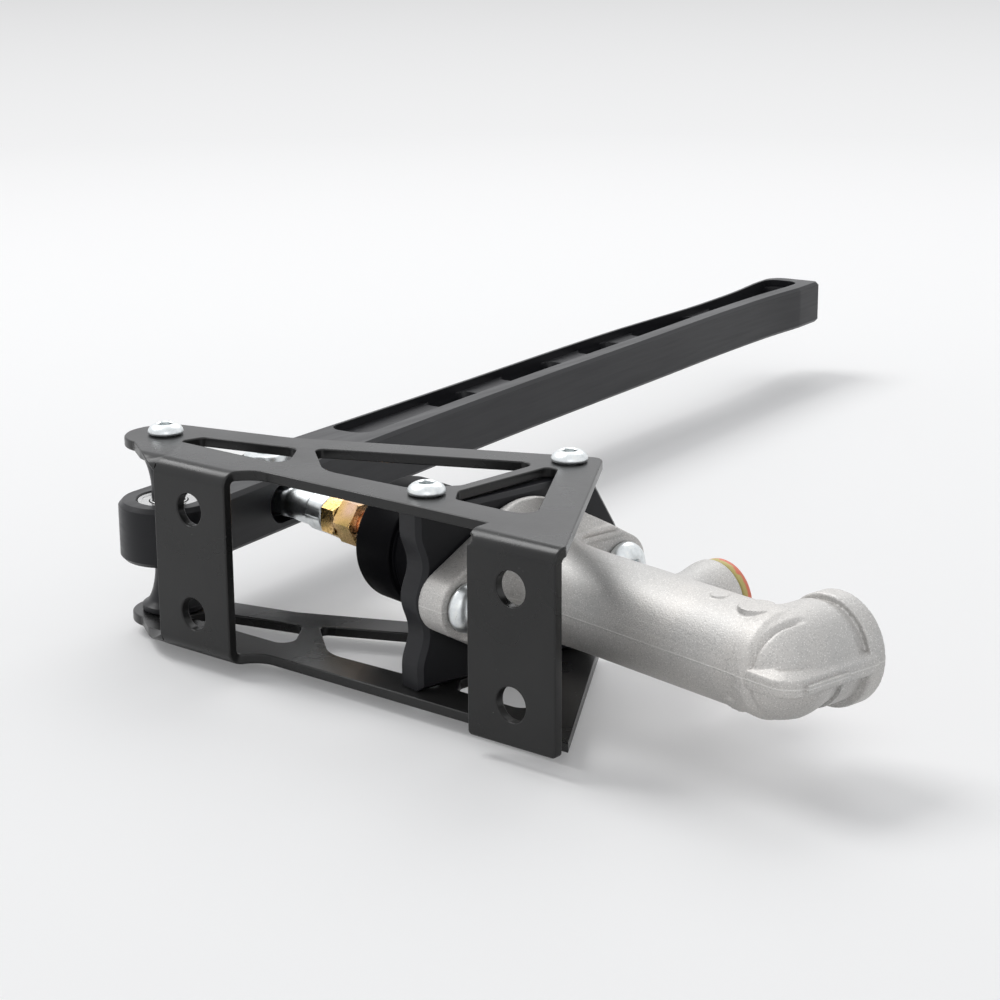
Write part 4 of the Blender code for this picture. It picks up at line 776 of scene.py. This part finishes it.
yellow_zinc, shader, place = new_finish("yellow_zinc", (0.8, 0.55, 0.25), 0.24, 1.0)
mottle = noise(place, 900.0, 3.0)
shimmer = [(0.3, (0.36, 0.3, 0.08)), (0.44, (0.8, 0.52, 0.2)), (0.56, (0.86, 0.57, 0.4)), (0.7, (0.62, 0.45, 0.12))]
shimmer = blend_colours(noise(place, 75.0, 1.0), shimmer)
dull = mixed_colour(spread(mottle, 0.0, 0.35, 0.58, 0.72), shimmer, (0.35, 0.25, 0.1, 1.0))
drive(shader, dull, spread(mottle, 0.16, 0.36))
relief(shader, mottle, 0.08, 0.00004)


def along_rod(patch):
    """A patch drawn up the Z axis, laid along the rod's line from the lever's pin."""
    return placed((np.roll(patch[0], 1, -1), patch[1]), PIN, ROD_TURN)


FLATS, STEM_R, NOSE_R = 12.7, 3.95, 6.0
jam_nut = along_rod(hexagon_nut(FLATS, 4.2, 36.5, 43.1))
make_piece("jam_nut_hexagon", [jam_nut], yellow_zinc, "rod", "jam_nut")

hexagon = along_rod(placed(hexagon_nut(FLATS, 3.9, 43.4, 51.4, 0.6), (0.0, 0.0), 0.45))
swell = np.radians(np.linspace(-48, 84, 14))
nose = np.stack([ROD_LENGTH + NOSE_R * np.sin(swell), NOSE_R * np.cos(swell)], -1)
stem = [(21.2, 0), (21.2, 3.3), (21.9, STEM_R), (ROD_LENGTH - 5.2, STEM_R), *nose, (ROD_LENGTH + NOSE_R, 0)]
make_piece("pushrod_turned", [hexagon, along_rod(lathe(stem, 64))], yellow_zinc, "rod", "pushrod")

# ---- Boot ------------------------------------------------
# A black moulded rubber boot, 43 mm long, pushed over the casting's spigot behind the adapter plate; its
# wider front part ends in a flat face with a hole for the rod.

rubber, shader, place = new_finish("black_rubber", (0.003, 0.003, 0.004), 0.5, 0.0, 0.06)
bloom = noise(place, 60.0, 4.0)
black = blend_colours(bloom, [(0.35, (0.002, 0.002, 0.003)), (0.7, (0.004, 0.004, 0.005))])
drive(shader, black, spread(bloom, 0.4, 0.58))
relief(shader, noise(place, 1600.0, 2.0), 0.2, 0.00005)


def by_cylinder(patch):
    """A patch of the cylinder's own frame, with X along its bore, moved to its place."""
    return placed(patch, CYLINDER_AT, CYLINDER_TURN)


BOOT_REAR, BOOT_FRONT, BOOT_STEP = -5.05, -48.05, -32.05
MOUTH_R, FRONT_OUT, FRONT_IN, REAR_OUT, REAR_IN, GRIP_R, SPIGOT_END = 5.5, 18.4, 16.2, 17.3, 15.1, 14.3, -15.55
boot_wall = [(BOOT_FRONT, MOUTH_R, 0.4), (BOOT_FRONT, FRONT_OUT, 1.0), (BOOT_STEP - 0.4, FRONT_OUT, 0.6),
             (BOOT_STEP, 17.0, 0.4), (BOOT_STEP + 1.2, 17.0, 0.4), (BOOT_STEP + 1.8, REAR_OUT, 0.5),
             (BOOT_REAR, REAR_OUT, 0.6), (BOOT_REAR, GRIP_R, 0.3), (SPIGOT_END, GRIP_R, 0.3),
             (SPIGOT_END, REAR_IN, 0.3), (BOOT_STEP, REAR_IN, 0.4), (BOOT_STEP - 1.2, FRONT_IN, 0.4),
             (BOOT_FRONT + 2.2, FRONT_IN, 0.8), (BOOT_FRONT + 2.2, MOUTH_R, 0.4)]
boot = by_cylinder(lathe(rounded(boot_wall, 5), 96, "X"))
make_piece("boot_moulded", [boot], rubber, "bracket", "boot", weighted=False)

# ---- Adapter plate ---------------------------------------
# A 9.5 mm aluminium plate across the cylinder, held between the bracket's plates. Its near edge runs in
# two shallow waves, its far edge comes to a blunt nose, and all its edges are chamfered.

PLATE_HALF, PLATE_TOP, PLATE_NEAR, WAVE = 4.75, 25.2, 36.7, 2.4
SHOULDER_Y, NOSE_Y, NOSE_HALF, MIDDLE_HOLE_R = 26.0, 37.0, 7.2, 14.3
BOLT_AT, BOLT_HOLE_R = 28.575, 4.3
hollow_at = (PLATE_TOP - 6.0) / 2
heights = np.linspace(-2 * hollow_at, 2 * hollow_at, 49)
wave = np.stack([-PLATE_NEAR + WAVE * np.sin(pi / 2 * heights / hollow_at) ** 2, heights], -1)
far_side = rounded([(SHOULDER_Y, PLATE_TOP, 0), (NOSE_Y, NOSE_HALF, 5.0), (NOSE_Y, -NOSE_HALF, 5.0),
                    (SHOULDER_Y, -PLATE_TOP, 0)])
plate_loop = wound(np.concatenate([[(-PLATE_NEAR, -PLATE_TOP)], wave, [(-PLATE_NEAR, PLATE_TOP)], far_side]))
chamfered = [(1.4, -PLATE_HALF), (1.2, -4.72), (0.12, -3.45), (0, -3.25)]
through = [(0.4, -PLATE_HALF), (0.0, -4.35)]
chamfered, through = (half + [(inset, -x) for inset, x in half[::-1]] for half in (chamfered, through))
drilled = [arc((0, 0), MIDDLE_HOLE_R, 0, 355, 71)]
drilled += [arc((side * BOLT_AT, 0), BOLT_HOLE_R, 0, 352.5, 47) for side in (-1, 1)]
strips = [rim(plate_loop, chamfered)] + [rim(wound(loop, left=False), through) for loop in drilled]
plate_patches = [netted(strip) for strip in strips]
spots, faces = filled([strip[0, :, :2] for strip in strips])
plate_patches += [(lifted(spots, x), faces) for x in (-PLATE_HALF, PLATE_HALF)]
plate_patches = [by_cylinder((np.roll(points, 1, -1), faces)) for points, faces in plate_patches]
make_piece("adapter_plate_milled", plate_patches, anodised, "bracket", "adapter_plate")

# ---- Master cylinder casting -----------------------------
# One aluminium casting, shot-blasted: a spigot and a two-bolt flange at the plate, a round body, an
# outlet boss, and an elbow with a web round its corner that ends in the port's ring. It has a faint
# parting line, raised and with a painted highlight along it, and round ejector marks.

FLANGE_BACK, FLANGE_FRONT, WAIST_R, EAR_R = 5.05, 14.9, 23.2, 9.0
SPIGOT_R, BODY_R, BORE_R, BORE_END = 14.0, 13.7, 9.525, 97.0
ELBOW_AT, ELBOW_R, NECK_R, PORT_R, DRILL_R = 102.0, 13.5, 12.0, 6.5, 3.0
RING_R, RING_AT, RING_HALF, GROOVE_R = 14.95, 19.55, 2.75, 13.1
OUTLET_AT, OUTLET_R, BOSS_R, BOSS_END = 54.5, 4.3, 9.6, 25.8
WEB_X, WEB_Y, WEB_CORNER, WEB_HALF = 117.7, -13.9, 6.5, 3.7
CREASE_DEPTH, CREASE_WIDTH, BAR_HALF = 1.1, 0.62, 1.0
MARKS = ((94.6, 4.9, 1.75), (81.8, 2.5, 1.62))


def ear_plan(y, z):
    """Distance to the flange's outline: the waist's circle, the ear's circle, or the straight side that touches
    both."""
    y, z = np.abs(y), np.abs(z)
    lean = (WAIST_R - EAR_R) / BOLT_AT
    level = sqrt(1 - lean ** 2)
    past = level * y - lean * z
    side = level * z + lean * y - WAIST_R
    return np.where(past < 0, np.hypot(y, z) - WAIST_R,
                    np.where(past > level * BOLT_AT, np.hypot(y - BOLT_AT, z) - EAR_R, side))


def casting_shape(x, y, z):
    """Distance to the casting. Turned and flat forms are melted together, then the crease by the web, the web's
    raised bar and the marks are laid on, and the drilled holes are taken out."""
    around = np.hypot(y, z)
    spigot = rounded_box(around - SPIGOT_R, np.abs(x + 4.0) - 13.05, 0.8)
    plan, middle = ear_plan(y, z), (FLANGE_BACK + FLANGE_FRONT) / 2
    flange = rounded_box(plan, np.abs(x - middle) - (FLANGE_FRONT - FLANGE_BACK) / 2, 0.7)
    flange = np.maximum(flange, (x - FLANGE_FRONT + 0.7 * (np.abs(z) - 12)) / 1.22)
    for ridge_z, ridge_r, fillet in ((11.8, 1.0, 0.6), (9.5, 0.6, 0.5)):
        ridge = np.hypot(x - FLANGE_FRONT + 0.1, np.abs(z) - ridge_z) - ridge_r
        flange = melt(flange, np.maximum(ridge, plan + 0.4), fillet)
    root = BODY_R + 2.5 * np.exp(-(x - FLANGE_FRONT).clip(0) / 4.5)
    body = rounded_box(around - root, np.abs(x - 56) - 46, 0.6)
    boss_r = BOSS_R + 1.7 * smooth_step(y, 15, 25)
    boss = rounded_box(np.hypot(x - OUTLET_AT, z) - boss_r, np.abs(y - BOSS_END / 2) - BOSS_END / 2, 1.5)
    elbow = np.sqrt((x - ELBOW_AT) ** 2 + y ** 2 + z ** 2) - ELBOW_R
    turned = np.hypot(x - ELBOW_AT, z)
    neck_r = NECK_R + 2.3 * smooth_step(z, -2.5, -0.5) * smooth_step(y, -4, 8)
    neck = rounded_box(turned - neck_r, np.abs(y - 6.7) - 6.7, 0.3)
    ring = rounded_box(turned - RING_R, np.abs(y - RING_AT) - RING_HALF, 0.6)
    groove = np.maximum(turned - GROOVE_R, np.abs(y - 14) - 5)
    corner = rounded_box(x - WEB_X, WEB_Y - y, WEB_CORNER)
    corner = np.maximum(corner, np.maximum(103 - x, y - 18.5))
    slope = (np.abs(z) - 2.2 + np.where(z > 0, 0.5, 0.3) * corner) / 1.12
    web = rounded_box(rounded_box(corner, slope, 0.2), np.abs(z) - WEB_HALF, 0.2)
    shape = melt(spigot, flange, 0.8)
    shape = melt(melt(shape, body, 2.2), boss, 1.0)
    shape = melt(shape, melt(elbow, neck, 3.0), 2.0)
    shape = melt(np.minimum(shape, groove), ring, 0.3)
    across_crease = (x - 103.5 - 0.27 * (y + 13.35)) / 1.036
    over = smooth_step(np.abs(z), 1.8, 3.0) * (1 - smooth_step(y, -2, 3)) * np.where(z > 0, 1.0, 0.4)
    shape = shape + CREASE_DEPTH * np.exp(-(across_crease / CREASE_WIDTH) ** 2) * over
    shape = melt(shape, web, 0.25)
    bar = rounded_box(np.maximum(np.abs(y + 0.6) - 7.6, np.abs(z) - BAR_HALF), np.abs(x - 117.4) - 1.4, 0.2)
    shape = melt(shape, bar, 0.25)
    for mark_x, mark_r, mark_half in MARKS:
        mark = rounded_box(np.hypot(x - mark_x, y + 1.0) - mark_r, np.abs(z - 12.3) - mark_half, 0.25)
        shape = melt(shape, mark, 0.25)
    low_mark = rounded_box(np.hypot(x - 95.5, (y - z) * 0.7071) - 3.2, np.abs((y + z) * 0.7071 + 12.3) - 1.75, 0.25)
    shape = melt(shape, low_mark, 0.25)
    port = np.maximum(turned - PORT_R - (y - 21.3).clip(0), 11.0 - y)
    drilled = np.maximum(turned - DRILL_R, np.maximum(-y, y - 12))
    outlet = np.maximum(np.hypot(x - OUTLET_AT, z) - OUTLET_R, 9.0 - y)
    holes = np.maximum(np.hypot(np.abs(y) - BOLT_AT, z) - BOLT_HOLE_R, np.abs(x - 10.35) - 6)
    main_bore = np.maximum(around - BORE_R, x - BORE_END)
    for cut in (port, drilled, outlet, holes, main_bore):
        shape = np.maximum(shape, -cut)
    return shape


cast_metal, shader, place = new_finish("shot_blast_aluminium", (0.58, 0.57, 0.55), 0.55, 0.8)
tree = shader.id_data
blast = noise(place, 2300.0, 2.0, 0.6)
fleck = node(tree, "TexVoronoi", {"Vector": place, "Scale": 1900.0}).outputs["Distance"]
warm = noise(place, 38.0, 3.0)
ground = blend_colours(warm, [(0.32, (0.5, 0.495, 0.485)), (0.68, (0.6, 0.58, 0.555))])
bright = mixed_colour(spread(fleck, 0.7, 0.0, 0.1, 0.35), ground, (0.85, 0.84, 0.82, 1.0))
dark_grain = mixed_colour(spread(blast, 0.6, 0.0, 0.34, 0.48), bright, (0.34, 0.335, 0.325, 1.0))
# A thin band at the parting plane: the bump raises it as a real ridge, and its colour is painted lighter as a painted
# highlight along that ridge.
height = node(tree, "SeparateXYZ", {0: place}).outputs["Z"]
off_parting = node(tree, "Math", {0: height}, operation="ABSOLUTE").outputs[0]
seam_and_highlight = {"Value": off_parting, "From Min": 0.0, "From Max": 0.00035, "To Min": 0.9, "To Max": 0.0}
seam_and_highlight = node(tree, "MapRange", seam_and_highlight, interpolation_type="SMOOTHSTEP").outputs["Result"]
seam_highlighted = mixed_colour(spread(seam_and_highlight, 0.0, 0.3, 0.0, 1.0), dark_grain, (0.9, 0.89, 0.87, 1.0))
drive(shader, seam_highlighted, spread(blast, 0.5, 0.66))
rough = node(tree, "Math", {0: blast, 1: seam_and_highlight}, operation="ADD").outputs[0]
relief(shader, rough, 0.5, 0.00018)

casting = by_cylinder(skin(casting_shape, (-18.2, -38.6, -24.0), (119.2, 38.6, 24.0), 0.6))
make_piece("master_cylinder_casting", [casting], cast_metal, "bracket", "master_cylinder",
           crease=60.0, weighted=False)

# ---- Flange bolts ----------------------------------------
# Two M8 button-head bolts, bright zinc, through the casting's ears into the adapter plate.

for label, side in (("near", -1), ("far", 1)):
    points, faces = socket_screw(7.0, 4.7, 5.0, 4.0, 19.3, 0.4)
    points = np.roll(points, 1, -1) + (FLANGE_FRONT, side * BOLT_AT, 0)
    name = f"flange_bolt_{label}"
    make_piece(name + "_head", [by_cylinder((points, faces))], zinc, "bracket", name)

# ---- Outlet cap ------------------------------------------
# A push-in plug of soft coral-red plastic that keeps dirt out of the outlet: a disc with a rounded rim
# on a short stem, with a duller, yellow lower band.

cap_plastic, shader, place = new_finish("coral_plastic", (0.75, 0.2, 0.12), 0.45, 0.0)
tree = shader.id_data
shader.inputs["Subsurface Weight"].default_value = 0.15
shader.inputs["Subsurface Radius"].default_value = (0.004, 0.0015, 0.001)
shader.inputs["Subsurface Scale"].default_value = 0.6
faded = noise(place, 130.0, 3.0)
coral = blend_colours(faded, [(0.3, (0.72, 0.15, 0.09)), (0.7, (0.86, 0.25, 0.15))])
outward = (-sin(CYLINDER_TURN), cos(CYLINDER_TURN), 0.0)
boss_foot = float(CYLINDER_AT @ np.array(outward[:2])) * 0.001
out = node(tree, "VectorMath", {0: place, 1: outward}, operation="DOT_PRODUCT").outputs["Value"]
ragged = spread(noise(place, 260.0, 2.0), -0.0008, 0.0008)
out = node(tree, "Math", {0: out, 1: ragged}, operation="ADD").outputs[0]
above = spread(out, 0.0, 1.0, boss_foot + 0.0268, boss_foot + 0.0272)
stained = mixed_colour(above, (0.62, 0.53, 0.2, 1.0), coral)
drive(shader, stained, spread(faded, 0.38, 0.52))
relief(shader, noise(place, 1900.0, 2.0), 0.15, 0.00005)

PLUG_R, PLUG_END, RIM_R, RIM_FROM, RIM_TO, DISH_AT = 3.9, 19.0, 10.9, 26.1, 29.3, 28.6
cap_outline = [(PLUG_END, 0.0, 0), (PLUG_END, PLUG_R, 0.6), (RIM_FROM, PLUG_R, 0.3), (RIM_FROM, RIM_R, 0.9),
               (RIM_TO, RIM_R, 1.5), (RIM_TO, 8.4, 0.8), (DISH_AT, 7.2, 0.8), (DISH_AT, 0.0, 0)]
cap = by_cylinder(lathe(rounded(cap_outline, 5), 96, "Y", (0.0, OUTLET_AT)))
make_piece("outlet_cap_moulded", [cap], cap_plastic, "bracket", "outlet_cap")

# ---- Inside the hub and the bore -------------------------
# The axle, its sleeve and the bearings' balls, and the clip, washer, piston, seals and spring in the bore
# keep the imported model's own meshes and get real finishes.

inner_looks = ((zinc, ("pivot_axle", "stop_washer")), (turned_alloy, ("pivot_sleeve", "piston")),
               (ground_steel, ("bearing_upper_balls", "bearing_lower_balls", "retaining_clip", "return_spring")),
               (rubber, ("cup_seal_front", "cup_seal_rear")))
for look, names in inner_looks:
    for name in names:
        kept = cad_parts[name]
        if kept.material_slots:
            kept.material_slots[0].material = look
        else:
            kept.data.materials.append(look)
